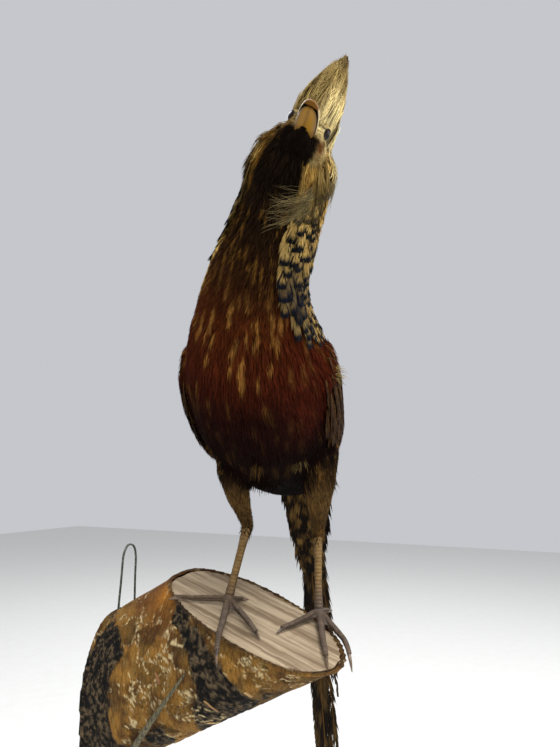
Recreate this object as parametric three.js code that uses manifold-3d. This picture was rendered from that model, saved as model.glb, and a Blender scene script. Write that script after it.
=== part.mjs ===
// A mounted golden pheasant standing on a birch log that hangs flat against a wall.
// Millimetres, +Z up. The wall is the plane y = 0 and the log stands out from it towards -Y.
// The origin is the middle of the log's flat back.
import * as THREE from 'three';
import * as BufferGeometryUtils from 'three/addons/utils/BufferGeometryUtils.js';
import Module from 'manifold-3d';

const wasm = await Module();
wasm.setup();

// ---------------------------------------------------------------- driving dimensions

const GAP = 0.3; // clearance between two pieces that touch

// The log: one oval section on the wall, carried along a rising line to a slanting saw cut.
const LOG_HALF_WIDTH = 46;
const LOG_HALF_HEIGHT = 77; // over the top; the underside is a little flatter
const LOG_UNDERSIDE = 0.87; // of the upper half's height, at the sawn face
const LOG_SQUARENESS = 2.25; // 2 would be a true oval
const LOG_LEAN = 0.1; // rise of the oval's long side, per mm along X
const LOG_RUN = [-0.19, -1, 0.52]; // direction that the log grows out from the wall
const BARK_THICKNESS = 3.2;
const FACE_RISE_Y = 0.25; // slope of the sawn face towards the wall
const FACE_RISE_X = 0.22; // slope of the sawn face along the wall

// The wire loop that hangs the log, and the two staples over its legs.
const WIRE_RADIUS = 1.25;
const WIRE_OFF_WALL = 4.6;
const LOOP_TOP = 143;
const LOOP_HALF_FOOT = 13;
const LOOP_HALF_TOP = 9;
const LOOP_CENTRE = 9;
const WIRE_SUNK = 16; // length of each leg below the log's skin
const STAPLE_RADIUS = 0.8;
const STAPLE_REACH = 2.2;

// The bird stands between its feet on the sawn face, turned about +Z from +X.
const BIRD_AT = [-17.5, -189.5, 96.5];
const BIRD_HEADING = 189;

// Stations along the body from the tail root to the nape, in the bird's frame
// (x forward, y to its left, z up), with half the width and half the depth there.
const BODY_STATIONS = [
  { at: [-50, 20, 112], wide: 16, deep: 15 }, // tail root
  { at: [-27, 10, 128], wide: 41, deep: 34 }, // vent
  { at: [6, 2, 151], wide: 57, deep: 50 }, // belly
  { at: [42, 3, 177], wide: 62, deep: 58 }, // middle
  { at: [76, 7, 204], wide: 61, deep: 58 }, // breast
  { at: [105, 12, 231], wide: 50, deep: 49 }, // shoulders
  { at: [128, 22, 256], wide: 38, deep: 38 }, // root of the neck
  { at: [147, 37, 280], wide: 31, deep: 31 }, // middle of the neck
  { at: [164, 51, 302], wide: 27, deep: 26 }, // top of the neck
  { at: [180, 62, 319], wide: 26, deep: 24 }, // nape
  { at: [196, 71, 333], wide: 13, deep: 13 }, // inside the head
];
const NECK_STARTS = 0.56; // share of the body line where the neck begins

// The head: its origin is midway between the corners of the mouth.
const HEAD_AT = [208.6, 77.6, 321.5];
const HEAD_YAW = 21.9;
const HEAD_PITCH = -3.3;
const HEAD_ROLL = 25.6;
const HEAD_STATIONS = [
  { at: [-43, 0, 0], wide: 9, deep: 9 },
  { at: [-37, 0, 1], wide: 16, deep: 15 },
  { at: [-27, 0, 2.5], wide: 19, deep: 18 },
  { at: [-15, 0, 3], wide: 17, deep: 17.5 },
  { at: [-6, 0, 2.5], wide: 12.8, deep: 14 },
  { at: [0, 0, 1.5], wide: 9, deep: 9.5 },
];
const HEAD_PEAR = 0.2; // how much broader the head is over its cheeks than over its eyes
const EYE_AT = [-9.5, 9.7, 7.4];
const EYE_RADIUS = 4.6;
const BILL_LENGTH = 26.5;
const BILL_HALF_WIDTH = 7.8;

// The crest stands up in a peak, and its rear plume hangs down the nape.
const CREST_STATIONS = [
  { at: [-18, 0, 8], wide: 17, deep: 19 },
  { at: [-17, 0, 23], wide: 16, deep: 18 },
  { at: [-14, 0, 38], wide: 11.5, deep: 13 },
  { at: [-11, 0, 50], wide: 6.5, deep: 8 },
  { at: [-8, 0, 61], wide: 1.2, deep: 1.6 },
];
const PLUME_STATIONS = [
  { at: [-18, 1, 18], wide: 17, deep: 10 },
  { at: [-34, 4, 15], wide: 19, deep: 8.5 },
  { at: [-46, 8, 2], wide: 18, deep: 7 },
  { at: [-52, 11, -17], wide: 14, deep: 5 },
  { at: [-53, 12, -38], wide: 5, deep: 2 },
];

// The legs: thigh, hock and foot of each side, in the bird's frame.
const LEGS = {
  right: {
    hip: [40, -20, 150],
    thigh: [27, -28, 112],
    shin: [12, -27, 90],
    hock: [1, -24.5, 74],
    foot: [16.2, -36.4],
  },
  left: {
    hip: [22, 42, 146],
    thigh: [8, 44, 106],
    shin: [-10, 40, 82],
    hock: [-22, 37, 66.5],
    foot: [-7, 40],
  },
};
const THIGH_RADII = [25, 17, 9.5, 5.6];
const SHANK_RADII = [4.6, 3.5, 3.3, 4.2];
const FOOT_HEIGHT = 7; // height of the ball of the foot above the sawn face
const TOE_RADII = [3.4, 2.9, 2.5, 2.1];
const CLAW_RADII = [1.9, 1.5, 0.45];

// Each toe: the share that its claw takes, and its points forward, left and above the sawn face.
const TOES = {
  right_outer: {
    claw: 0.2,
    track: [[19, -50, 5], [25, -66, 3.4], [30, -78, 3.2], [33, -86, 1.4]],
  },
  right_middle: {
    claw: 0.2,
    track: [[32, -33, 5], [48, -29.5, 3.4], [59, -27.5, 2.4], [66, -26, -5], [69, -25, -15]],
  },
  right_inner: {
    claw: 0.22,
    track: [[26, -22, 5], [36, -9, 3.4], [43, -2, 3.2], [47, 3, 1.4]],
  },
  right_hind: {
    claw: 0.38,
    track: [[8, -31, 4.4], [2, -27, 3], [-3, -24, 1.2]],
  },
  left_outer: {
    claw: 0.24,
    track: [[1, 50, 5], [11, 61, 3.4], [19, 67.5, 2.6], [27, 72, -3], [31, 74, -10]],
  },
  left_middle: {
    claw: 0.2,
    track: [[9, 45, 5], [26, 50, 3.4], [42, 55, 3.2], [54, 59, 1.4]],
  },
  left_inner: {
    claw: 0.22,
    track: [[6, 31, 5], [18, 22, 3.4], [27, 16, 3.2], [32.5, 12.5, 1.4]],
  },
  left_hind: {
    claw: 0.38,
    track: [[-15, 44, 4.4], [-21, 46.5, 3], [-26, 49, 1.2]],
  },
};

const PLATE_LIFT = 1.9; // clearance of a curved plate over the flesh that it lies on

// The folded wings lie on the trunk as plates.
const WING_FROM = 0.45; // wrist, as a share of the body line
const WING_TO = 0.03;
const WING_HALF_SPAN = 37; // degrees of the trunk's section that the wing covers to each side
const WING_THICKNESS = 5;

// The cape lies over the back and sides of the neck.
const CAPE_FROM = 0.95;
const CAPE_TO = 0.47;
const CAPE_HALF_SPAN = 106;
const CAPE_THICKNESS = 6.5;

// The tail hangs down behind the log in pairs of feathers about one long central feather.
const TAIL_DROP = 72; // degrees below level
const TAIL_TURN = 1.2; // degrees to the bird's left
const TAIL_FEATHERS = [
  { name: 'tail_centre', length: 520, wide: 12.5, splay: 0, layer: 0 },
  { name: 'tail_left_1', length: 470, wide: 11, splay: 1.1, layer: 1 },
  { name: 'tail_right_1', length: 440, wide: 11, splay: -1.2, layer: 2 },
  { name: 'tail_left_2', length: 350, wide: 11, splay: 2.6, layer: 3 },
  { name: 'tail_right_2', length: 320, wide: 11, splay: -2.8, layer: 4 },
  { name: 'tail_left_3', length: 235, wide: 11, splay: 5, layer: 5 },
  { name: 'tail_right_3', length: 215, wide: 11, splay: -5.2, layer: 6 },
];
const TAIL_LAYER = 2; // step between the feathers' layers
const FEATHER_HALF_THICKNESS = 0.55;
const COVERT_LENGTH = 105;

// A dry stem lies across the log's bark.
const STEM_TRACK = [[-42, -55, -39.5], [-49.8, -66.6, -26.9], [-66, -105, 17.2], [-73.4, -137, 55]];
const STEM_RADII = [3.2, 2.9, 2.2, 1];

// ---------------------------------------------------------------- finishes

/** A finish from its colour, roughness and metalness. */
function finish(color, roughness, metalness = 0) {
  return new THREE.MeshStandardMaterial({ color, roughness, metalness });
}

const FINISH = {
  wood: () => finish(0x9c8a70, 0.85),
  bark: () => finish(0x7a4f22, 0.8),
  wire: () => finish(0x4a5148, 0.45, 0.9),
  stem: () => finish(0x4d4a2c, 0.8),
  breast: () => finish(0x6a2314, 0.75),
  neck: () => finish(0x33200f, 0.8),
  face: () => finish(0xb59a62, 0.8),
  crest: () => finish(0x9c7c3c, 0.7),
  cape: () => finish(0xc0913a, 0.7),
  wing: () => finish(0x4a3220, 0.75),
  thigh: () => finish(0x6b4a28, 0.8),
  leg: () => finish(0x8a6a3a, 0.6),
  claw: () => finish(0x3a3026, 0.5),
  bill: () => finish(0xc49a52, 0.4),
  eye: () => finish(0x0c0a08, 0.08),
  tail: () => finish(0x2a1c10, 0.7),
};

// ---------------------------------------------------------------- shapes and solids

const v3 = (x, y, z) => new THREE.Vector3(x, y, z);
const lerp = THREE.MathUtils.lerp;
const radians = THREE.MathUtils.degToRad;
const hump = (share) => Math.sin(Math.PI * share);

/** A geometry from points and triangles, turned to face out. */
function closedGeometry(points, faces) {
  let volume = 0;
  for (const [a, b, c] of faces) {
    volume += points[a].dot(points[b].clone().cross(points[c]));
  }
  const flat = points.flatMap((p) => [p.x, p.y, p.z]);
  const index = volume < 0 ? faces.flatMap(([a, b, c]) => [a, c, b]) : faces.flat();
  const geometry = new THREE.BufferGeometry();
  geometry.setAttribute('position', new THREE.Float32BufferAttribute(flat, 3));
  geometry.setIndex(index);
  return geometry;
}

/** Triangles between neighbouring rings; `wrap` joins the last ring to the first. */
function ringFaces(rings, count, wrap = false) {
  const faces = [];
  const last = wrap ? rings : rings - 1;
  for (let i = 0; i < last; i += 1) {
    for (let j = 0; j < count; j += 1) {
      const a = i * count + j;
      const b = i * count + ((j + 1) % count);
      const c = ((i + 1) % rings) * count + j;
      const d = ((i + 1) % rings) * count + ((j + 1) % count);
      faces.push([a, b, c], [b, d, c]);
    }
  }
  return faces;
}

/** A closed body through rings of points, with a flat fan at each end. */
function loft(rings) {
  const count = rings[0].length;
  const points = rings.flat();
  const faces = ringFaces(rings.length, count);
  for (const [ring, start] of [[rings[0], 0], [rings.at(-1), (rings.length - 1) * count]]) {
    const centre = points.length;
    points.push(ring.reduce((sum, p) => sum.add(p), v3(0, 0, 0)).divideScalar(count));
    for (let j = 0; j < count; j += 1) {
      const next = start + ((j + 1) % count);
      faces.push(start === 0 ? [centre, next, start + j] : [centre, start + j, next]);
    }
  }
  return closedGeometry(points, faces);
}

/** A curved plate between an outer and an inner face, each a function of two shares from 0 to 1. */
function plate(stepsLong, stepsAcross, outer, inner) {
  const row = stepsAcross + 1;
  const size = row * (stepsLong + 1);
  const points = [];
  for (const face of [outer, inner]) {
    for (let i = 0; i <= stepsLong; i += 1) {
      for (let j = 0; j <= stepsAcross; j += 1) points.push(face(i / stepsLong, j / stepsAcross));
    }
  }
  const faces = [];
  const quad = (a, b, c, d) => faces.push([a, b, c], [a, c, d]);
  for (let i = 0; i < stepsLong; i += 1) {
    for (let j = 0; j < stepsAcross; j += 1) {
      const a = i * row + j;
      quad(a, a + 1, a + row + 1, a + row);
      quad(size + a, size + a + row, size + a + row + 1, size + a + 1);
    }
    const left = i * row;
    const right = left + stepsAcross;
    quad(left, left + row, size + left + row, size + left);
    quad(right, size + right, size + right + row, right + row);
  }
  for (let j = 0; j < stepsAcross; j += 1) {
    const end = stepsLong * row + j;
    quad(j, size + j, size + j + 1, j + 1);
    quad(end, end + 1, size + end + 1, size + end);
  }
  return closedGeometry(points, faces);
}

/** The line and sizes through a list of stations, read at any share from 0 to 1. */
class Spine {
  constructor(stations, dorsal, pear = 0) {
    this.line = new THREE.CatmullRomCurve3(stations.map((s) => v3(...s.at)));
    this.size = new THREE.CatmullRomCurve3(stations.map((s) => v3(s.wide, s.deep, 0)));
    this.dorsal = dorsal;
    this.pear = pear;
  }

  /** Centre, left and up directions and half sizes at a share of the line. */
  frame(share) {
    const t = THREE.MathUtils.clamp(share, 0, 1);
    const along = this.line.getTangent(t);
    const left = this.dorsal(t).cross(along).normalize();
    const up = along.clone().cross(left).normalize();
    const size = this.size.getPoint(t);
    return { centre: this.line.getPoint(t), along, left, up, wide: size.x, deep: size.y };
  }

  /** The point of the surface at a share and an angle from the left towards the back. */
  surface(share, angle, grow = 0) {
    const f = this.frame(share);
    const wide = f.wide * (1 - this.pear * Math.sin(angle)) + grow;
    return f.centre
      .addScaledVector(f.left, Math.cos(angle) * wide)
      .addScaledVector(f.up, Math.sin(angle) * (f.deep + grow));
  }

  /** A closed body over part of the line. */
  body({ from = 0, to = 1, rings = 12, around = 20, grow = 0 }) {
    const list = [];
    for (let i = 0; i < rings; i += 1) {
      const share = lerp(from, to, i / (rings - 1));
      list.push(
        Array.from({ length: around }, (_, j) => this.surface(share, (j / around) * 2 * Math.PI, grow)),
      );
    }
    return loft(list);
  }
}

/** A manifold-3d solid from a closed geometry. */
function solid(geometry) {
  const bare = geometry.clone();
  bare.deleteAttribute('normal');
  bare.deleteAttribute('uv');
  const merged = BufferGeometryUtils.mergeVertices(bare, 1e-4);
  return new wasm.Manifold(
    new wasm.Mesh({
      numProp: 3,
      vertProperties: merged.attributes.position.array,
      triVerts: new Uint32Array(merged.index.array),
    }),
  );
}

/** A geometry from a manifold-3d solid. */
function geometryOf(body) {
  const mesh = body.getMesh();
  const geometry = new THREE.BufferGeometry();
  geometry.setAttribute('position', new THREE.BufferAttribute(mesh.vertProperties, 3));
  geometry.setIndex(new THREE.BufferAttribute(mesh.triVerts, 1));
  return geometry;
}

/** A body less each of the others. */
function cut(geometry, ...others) {
  let body = solid(geometry);
  for (const other of others) body = body.subtract(solid(other));
  return geometryOf(largest(body));
}

/** Two or more closed geometries joined into one. */
function join(...geometries) {
  let body = solid(geometries[0]);
  for (const other of geometries.slice(1)) body = body.add(solid(other));
  return geometryOf(body);
}

/** The largest of a solid's separate bodies, so that no sliver is left from a cut. */
function largest(body) {
  return body.decompose().reduce((best, one) => (one.volume() > best.volume() ? one : best));
}

/** A round bar along a smooth curve, made by extruding a circle. */
function bar(points, radius, arcs = 4, steps = 15) {
  const section = new THREE.Shape();
  section.absarc(0, 0, radius, 0, 2 * Math.PI);
  return new THREE.ExtrudeGeometry(section, {
    steps,
    curveSegments: arcs,
    extrudePath: new THREE.CatmullRomCurve3(points),
  });
}

/** A tapering bar through points, over part of its length, with a radius for each share. */
function taper(points, radii, { from = 0, to = 1, rings = 5, around = 8, grow = 0 } = {}) {
  const line = new THREE.CatmullRomCurve3(points);
  const size = new THREE.CatmullRomCurve3(radii.map((r) => v3(r, 0, 0)));
  const list = [];
  for (let i = 0; i < rings; i += 1) {
    const share = lerp(from, to, i / (rings - 1));
    const along = line.getTangentAt(share);
    const side = v3(0, 0, 1).cross(along).normalize();
    const up = along.clone().cross(side).normalize();
    const radius = size.getPoint((share - from) / (to - from)).x + grow;
    const centre = line.getPointAt(share);
    list.push(
      Array.from({ length: around }, (_, j) => {
        const angle = (j / around) * 2 * Math.PI;
        return centre
          .clone()
          .addScaledVector(side, Math.cos(angle) * radius)
          .addScaledVector(up, Math.sin(angle) * radius);
      }),
    );
  }
  return loft(list);
}

// ---------------------------------------------------------------- the log

/** Height of the sawn face over a place in the wall's frame. */
function faceHeight(x, y) {
  return BIRD_AT[2] + FACE_RISE_Y * (y - BIRD_AT[1]) + FACE_RISE_X * (x - BIRD_AT[0]);
}

/** The log's section at an angle, drawn in by a depth; the bark is a little uneven. */
function logOutline(angle, inset, underside = 1) {
  const uneven = 1 + 0.012 * Math.sin(3 * angle + 0.6) + 0.008 * Math.sin(7 * angle);
  const power = 2 / LOG_SQUARENESS;
  const across = Math.sign(Math.cos(angle)) * Math.abs(Math.cos(angle)) ** power;
  const high = Math.sign(Math.sin(angle)) * Math.abs(Math.sin(angle)) ** power;
  const x = across * (LOG_HALF_WIDTH - inset) * uneven;
  const tall = (LOG_HALF_HEIGHT - inset * 1.2) * (high < 0 ? underside : 1);
  return v3(x, 0, high * tall * uneven + LOG_LEAN * x);
}

/** A ring of the log: share 0 is on the wall and share 1 on the sawn face, moved by `lift`. */
function logRing(share, inset, lift, around = 36) {
  const run = v3(...LOG_RUN);
  const rise = run.z - FACE_RISE_Y * run.y - FACE_RISE_X * run.x;
  return Array.from({ length: around }, (_, j) => {
    const angle = (j / around) * 2 * Math.PI;
    const end = logOutline(angle, inset, LOG_UNDERSIDE);
    const reach = (faceHeight(end.x, end.y) + lift - end.z) / rise;
    return logOutline(angle, inset).lerp(end.addScaledVector(run, reach), share);
  });
}

/** The whole log as one closed body, drawn in by a depth, with its sawn face lifted. */
function logBody(inset, lift = 0) {
  return loft([0, 1].map((share) => logRing(share, inset, lift)));
}

/** The bark as a shell about the wood, flush with both ends. */
function barkShell() {
  const rings = [
    ...[0, 1].map((share) => logRing(share, 0, 0)),
    ...[1, 0].map((share) => logRing(share, BARK_THICKNESS, 0)),
  ];
  return closedGeometry(rings.flat(), ringFaces(rings.length, rings[0].length, true));
}

/** The wire loop's line: up one leg, over the top and down the other. */
function loopPoints() {
  const legs = [];
  for (const side of [-1, 1]) {
    const foot = LOOP_CENTRE + side * LOOP_HALF_FOOT;
    const skin = logOutline(Math.acos(foot / LOG_HALF_WIDTH), 0).z;
    const shoulder = LOOP_CENTRE + side * LOOP_HALF_TOP;
    legs.push([
      v3(foot, -WIRE_OFF_WALL, skin - WIRE_SUNK),
      v3(foot, -WIRE_OFF_WALL, skin),
      v3(lerp(foot, shoulder, 0.5), -WIRE_OFF_WALL, lerp(skin, LOOP_TOP, 0.5)),
      v3(shoulder, -WIRE_OFF_WALL, LOOP_TOP - LOOP_HALF_TOP * 0.8),
    ]);
  }
  return [...legs[0], v3(LOOP_CENTRE, -WIRE_OFF_WALL, LOOP_TOP), ...legs[1].reverse()];
}

/** A staple's line: down into the log on each side of a leg of the loop. */
function staplePoints(side) {
  const foot = LOOP_CENTRE + side * LOOP_HALF_FOOT;
  const skin = logOutline(Math.acos(foot / LOG_HALF_WIDTH), 0).z;
  const reach = WIRE_RADIUS + STAPLE_RADIUS + GAP;
  const front = -WIRE_OFF_WALL - reach;
  const low = skin - STAPLE_REACH;
  return [
    v3(foot - reach, front - 1, low),
    v3(foot - reach, front, skin + 1.2),
    v3(foot, front, skin + 3),
    v3(foot + reach, front, skin + 1.2),
    v3(foot + reach, front - 1, low),
  ];
}

/** The dry stem, along the near side of the bark from its thick end to its tip. */
function stemBar() {
  return taper(STEM_TRACK.map((p) => v3(...p)), STEM_RADII, { rings: 5 });
}

// ---------------------------------------------------------------- the bird's frame

const bird = new THREE.Group();
bird.position.set(...BIRD_AT);
bird.rotation.z = radians(BIRD_HEADING);
bird.updateMatrix();

const head = new THREE.Group();
head.position.set(...HEAD_AT);
head.rotation.order = 'ZYX';
head.rotation.set(radians(-HEAD_ROLL), radians(-HEAD_PITCH), radians(HEAD_YAW));
head.updateMatrix();

/** A geometry of the wall's frame, carried into the bird's frame. */
function inBird(geometry) {
  return geometry.clone().applyMatrix4(bird.matrix.clone().invert());
}

/** A geometry of the bird's frame, carried into the head's frame. */
function inHead(geometry) {
  return geometry.clone().applyMatrix4(head.matrix.clone().invert());
}

/** A geometry of the head's frame, carried into the bird's frame. */
function fromHead(geometry) {
  return geometry.clone().applyMatrix4(head.matrix);
}

/** Height of the sawn face over a place in the bird's frame. */
function perchHeight(x, y) {
  const p = v3(x, y, 0).applyMatrix4(bird.matrix);
  return faceHeight(p.x, p.y) - BIRD_AT[2];
}

// ---------------------------------------------------------------- body and neck

/** The direction of the back: up over the trunk, and backwards over the neck. */
function bodyDorsal(share) {
  const turn = THREE.MathUtils.smoothstep(share, 0.45, 0.78);
  return v3(0, 0, 1).lerp(v3(-1, -0.2, 0.25), turn).normalize();
}

const bodySpine = new Spine(BODY_STATIONS, bodyDorsal);
const SPLIT = 0.0012; // half the cut between trunk and neck, as a share of the body line

/** The trunk, grown by a margin. */
function trunkBody(grow = 0) {
  return bodySpine.body({ to: NECK_STARTS - SPLIT, rings: 13, around: 22, grow });
}

/** The neck, up to its end inside the head, grown by a margin. */
function neckBody(grow = 0) {
  return bodySpine.body({ from: NECK_STARTS + SPLIT, rings: 8, around: 18, grow });
}

const bodyGrown = join(trunkBody(GAP), neckBody(GAP));

// ---------------------------------------------------------------- head, bill, eyes and crest

const headSpine = new Spine(HEAD_STATIONS, () => v3(0, 0, 1), HEAD_PEAR);

/** An egg-shaped body with its own three half sizes. */
function egg(at, size, columns = 10, rows = 6) {
  const ball = new THREE.SphereGeometry(1, columns, rows);
  ball.scale(...size);
  ball.translate(...at);
  return ball;
}

/** The eyeball of one side, +1 for the left. */
function eyeBall(side, grow = 0) {
  return egg([EYE_AT[0], EYE_AT[1] * side, EYE_AT[2]], Array(3).fill(EYE_RADIUS + grow), 10, 7);
}

/** The feathered head, broader over the cheeks. */
function headBody(grow = 0) {
  return headSpine.body({ rings: 9, around: 16, grow });
}

/** One half of the bill, from a height for its upper and lower edge at each share of its length. */
function billHalf(length, halfWidth, top, bottom) {
  const rings = [];
  const count = 10;
  const steps = 7;
  for (let i = 0; i <= steps; i += 1) {
    const share = i / steps;
    const narrow = Math.max(0.1, (1 - share) ** 0.62) * halfWidth;
    const x = -3 + share * (length + 3);
    const high = top(share);
    const low = bottom(share);
    rings.push(
      Array.from({ length: count }, (_, j) => {
        const angle = (j / count) * 2 * Math.PI;
        const y = Math.cos(angle) * narrow;
        return v3(x, y, (high + low) / 2 + Math.sin(angle) * ((high - low) / 2));
      }),
    );
  }
  return loft(rings);
}

/** The upper half hooks down a little past the lower one. */
function billUpper() {
  const top = (s) => 7 - 2.4 * s - 6.2 * s ** 3;
  const bottom = (s) => -0.9 - 1.7 * s ** 4;
  return billHalf(BILL_LENGTH, BILL_HALF_WIDTH, top, bottom);
}

/** The lower half of the bill. */
function billLower() {
  const top = (s) => -1 - GAP - 1.1 * s ** 4;
  const bottom = (s) => -6.6 + 2.4 * s ** 2;
  return billHalf(BILL_LENGTH - 5.5, BILL_HALF_WIDTH - 0.7, top, bottom);
}

const headGrown = headBody(GAP);
const headInBird = fromHead(headGrown);
const eyesGrown = [1, -1].map((side) => eyeBall(side, GAP));
const headSolid = cut(headBody(), ...eyesGrown);
const neckSolid = cut(neckBody(), headInBird);

const crestSpine = new Spine(CREST_STATIONS, () => v3(-1, 0, 0));
const plumeSpine = new Spine(PLUME_STATIONS, () => v3(0.3, 0, 1));

/** The peak of the crest with its rear plume, over the head and clear of the neck. */
function crestBody(grow = 0) {
  const peak = crestSpine.body({ rings: 6, around: 10, grow });
  const plume = plumeSpine.body({ rings: 6, around: 10, grow });
  return join(peak, plume);
}

const crestSolid = cut(crestBody(), headGrown, inHead(bodyGrown), ...eyesGrown);

// ---------------------------------------------------------------- cape and wings

/** The cape as a plate over the back and sides of the neck, thin at its borders. */
function capeBody() {
  const at = (long, across, rise) => {
    const share = lerp(CAPE_FROM, CAPE_TO, long);
    const half = radians(CAPE_HALF_SPAN) * (1 - 0.38 * long ** 2);
    const angle = Math.PI / 2 + lerp(-half, half, across);
    return bodySpine.surface(share, angle, rise);
  };
  const full = (long, across) =>
    1.2 + CAPE_THICKNESS * hump(across) ** 0.5 * hump(lerp(0.12, 0.95, long)) ** 0.6;
  return plate(
    8,
    10,
    (long, across) => at(long, across, PLATE_LIFT + full(long, across)),
    (long, across) => at(long, across, PLATE_LIFT),
  );
}

/** A folded wing as a plate on the trunk, +1 for the left, grown by a margin. */
function wingBody(side, grow = 0) {
  const at = (long, across, rise) => {
    const share = lerp(WING_FROM, WING_TO, long);
    const half = radians(WING_HALF_SPAN) * (0.12 + 0.88 * hump(long ** 0.6) ** 0.6);
    const middle = radians(lerp(6, 24, long));
    const spread = half + (grow * 2) / bodySpine.frame(share).wide;
    const angle = middle + lerp(-spread, spread, across);
    return bodySpine.surface(share, side > 0 ? angle : Math.PI - angle, rise);
  };
  const full = (long, across) =>
    1 + WING_THICKNESS * (hump(across) * hump(lerp(0.06, 0.94, long))) ** 0.5;
  return plate(
    9,
    7,
    (long, across) => at(long, across, PLATE_LIFT + full(long, across) + grow),
    (long, across) => at(long, across, PLATE_LIFT - grow),
  );
}

const crestInBird = fromHead(crestBody(GAP));
const capeSolid = cut(capeBody(), headInBird, crestInBird);

// ---------------------------------------------------------------- legs and feet

/** Points of a leg's thigh, from the hip inside the trunk to the hock. */
function thighPoints(leg) {
  return [leg.hip, leg.thigh, leg.shin, leg.hock].map((p) => v3(...p));
}

/** The ball of a foot over the sawn face. */
function ballOf(leg) {
  const [x, y] = leg.foot;
  return v3(x, y, perchHeight(x, y) + FOOT_HEIGHT);
}

/** Points of the shank from just under the hock to the ball of the foot. */
function shankPoints(leg) {
  const hock = v3(...leg.hock);
  const ball = ballOf(leg);
  const start = hock.clone().lerp(ball, 0.01);
  const middle = [0.35, 0.7].map((share) => hock.clone().lerp(ball, share));
  return [start, ...middle, ball.clone().setZ(ball.z + 2)];
}

/** Points of a toe and its claw, from the ball of its foot. */
function toePoints(ball, track) {
  return [ball.clone(), ...track.map(([x, y, h]) => v3(x, y, perchHeight(x, y) + h))];
}

const logGrown = inBird(logBody(-GAP, GAP));

/** The foot: ball and four toes joined, clear of the log and of the shank. */
function footSolid(side, leg, shankGrown) {
  const ball = ballOf(leg);
  const toes = Object.entries(TOES)
    .filter(([name]) => name.startsWith(side))
    .map(([, toe]) => taper(toePoints(ball, toe.track), TOE_RADII, { to: 1 - toe.claw, around: 6 }));
  const joint = egg([ball.x, ball.y, ball.z - 0.6], [4.6, 4.6, 4], 8, 5);
  return cut(join(joint, ...toes), logGrown, shankGrown);
}

/** A claw at the end of its toe, clear of the log. */
function clawSolid(leg, toe) {
  const points = toePoints(ballOf(leg), toe.track);
  const length = new THREE.CatmullRomCurve3(points).getLength();
  const from = 1 - toe.claw + GAP / length;
  return cut(taper(points, CLAW_RADII, { from, rings: 5, around: 6 }), logGrown);
}

// ---------------------------------------------------------------- tail

const tailRoot = bodySpine.frame(0);
const tailTurned = (direction) => direction.applyAxisAngle(v3(0, 0, 1), radians(-TAIL_TURN));
const tailWay = tailTurned(v3(-Math.cos(radians(TAIL_DROP)), 0, -Math.sin(radians(TAIL_DROP))));

/** The tail's side and back directions. */
const tailLeft = tailTurned(v3(0, 1, 0));
const tailBack = tailLeft.clone().cross(tailWay).normalize().negate();

/** A point of the tail: along it, across it, and out from its back. */
function tailPoint(along, across, out) {
  return tailRoot.centre
    .clone()
    .addScaledVector(tailWay, along)
    .addScaledVector(tailLeft, across)
    .addScaledVector(tailBack, out);
}

/** One long feather: a thin blade that tapers to its tip and curves a little. */
function featherBody({ length, wide, splay, layer }) {
  const rings = [];
  const steps = 8;
  const count = 6;
  const start = -2;
  for (let i = 0; i <= steps; i += 1) {
    const share = i / steps;
    const along = start + share * (length - start);
    const half = wide * Math.min(1, 0.3 + 5 * share) * (1 - share ** 2.2) + 0.5;
    const thick = FEATHER_HALF_THICKNESS * lerp(1.2, 0.7, share);
    const across = along * Math.sin(radians(splay)) * (1 - 0.25 * share);
    const out = 6 - layer * TAIL_LAYER + 7 * share ** 2 * (length / TAIL_FEATHERS[0].length) ** 2;
    rings.push(
      Array.from({ length: count }, (_, j) => {
        const angle = (j / count) * 2 * Math.PI;
        return tailPoint(along, across + Math.cos(angle) * half, out + Math.sin(angle) * thick);
      }),
    );
  }
  return loft(rings);
}

/** The coverts over (+1) or under (-1) the root of the tail, as a curved plate. */
function covertBody(side) {
  const out = side > 0 ? 8.4 : -8.6;
  const at = (long, across, rise) => {
    const along = lerp(side > 0 ? -16 : -8, COVERT_LENGTH * (side > 0 ? 1 : 0.72), long);
    const half = lerp(22, 10, long ** 1.5);
    const y = lerp(-half, half, across);
    const bow = 7 * (1 - (y / 26) ** 2) * (1 - long) + 0.6;
    return tailPoint(along, y, out + side * (bow + rise));
  };
  const full = (long, across) => 1 + 5 * Math.sin(Math.PI * across) ** 0.6 * (1 - long) ** 0.7;
  return plate(
    6,
    6,
    (long, across) => at(long, across, full(long, across)),
    (long, across) => at(long, across, 0),
  );
}

// ---------------------------------------------------------------- assembly

const part = new THREE.Group();

/** Adds a named mesh to a group. */
function add(group, name, geometry, material) {
  const mesh = new THREE.Mesh(geometry, material);
  mesh.name = name;
  group.add(mesh);
}

const loopGrown = bar(loopPoints(), WIRE_RADIUS + GAP);
const stapleSides = { left: -1, right: 1 };
const staplesGrown = Object.values(stapleSides).map((side) =>
  bar(staplePoints(side), STAPLE_RADIUS + GAP, 3, 10),
);
add(part, 'log_wood', cut(logBody(BARK_THICKNESS + GAP), loopGrown, ...staplesGrown), FINISH.wood());
add(part, 'log_bark', cut(barkShell(), loopGrown, ...staplesGrown), FINISH.bark());
add(part, 'hanger_wire', bar(loopPoints(), WIRE_RADIUS), FINISH.wire());
for (const [side, sign] of Object.entries(stapleSides)) {
  add(part, `hanger_staple_${side}`, bar(staplePoints(sign), STAPLE_RADIUS, 3, 10), FINISH.wire());
}
add(part, 'dry_stem', cut(stemBar(), logBody(-GAP, GAP)), FINISH.stem());

part.add(bird);
bird.add(head);
add(bird, 'trunk', trunkBody(), FINISH.breast());
add(bird, 'neck', neckSolid, FINISH.neck());
add(head, 'head', headSolid, FINISH.face());
add(head, 'bill_upper', cut(billUpper(), headGrown), FINISH.bill());
add(head, 'bill_lower', cut(billLower(), headGrown), FINISH.bill());
add(head, 'eye_left', eyeBall(1), FINISH.eye());
add(head, 'eye_right', eyeBall(-1), FINISH.eye());
add(head, 'crest', crestSolid, FINISH.crest());
add(bird, 'cape', capeSolid, FINISH.cape());

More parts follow.
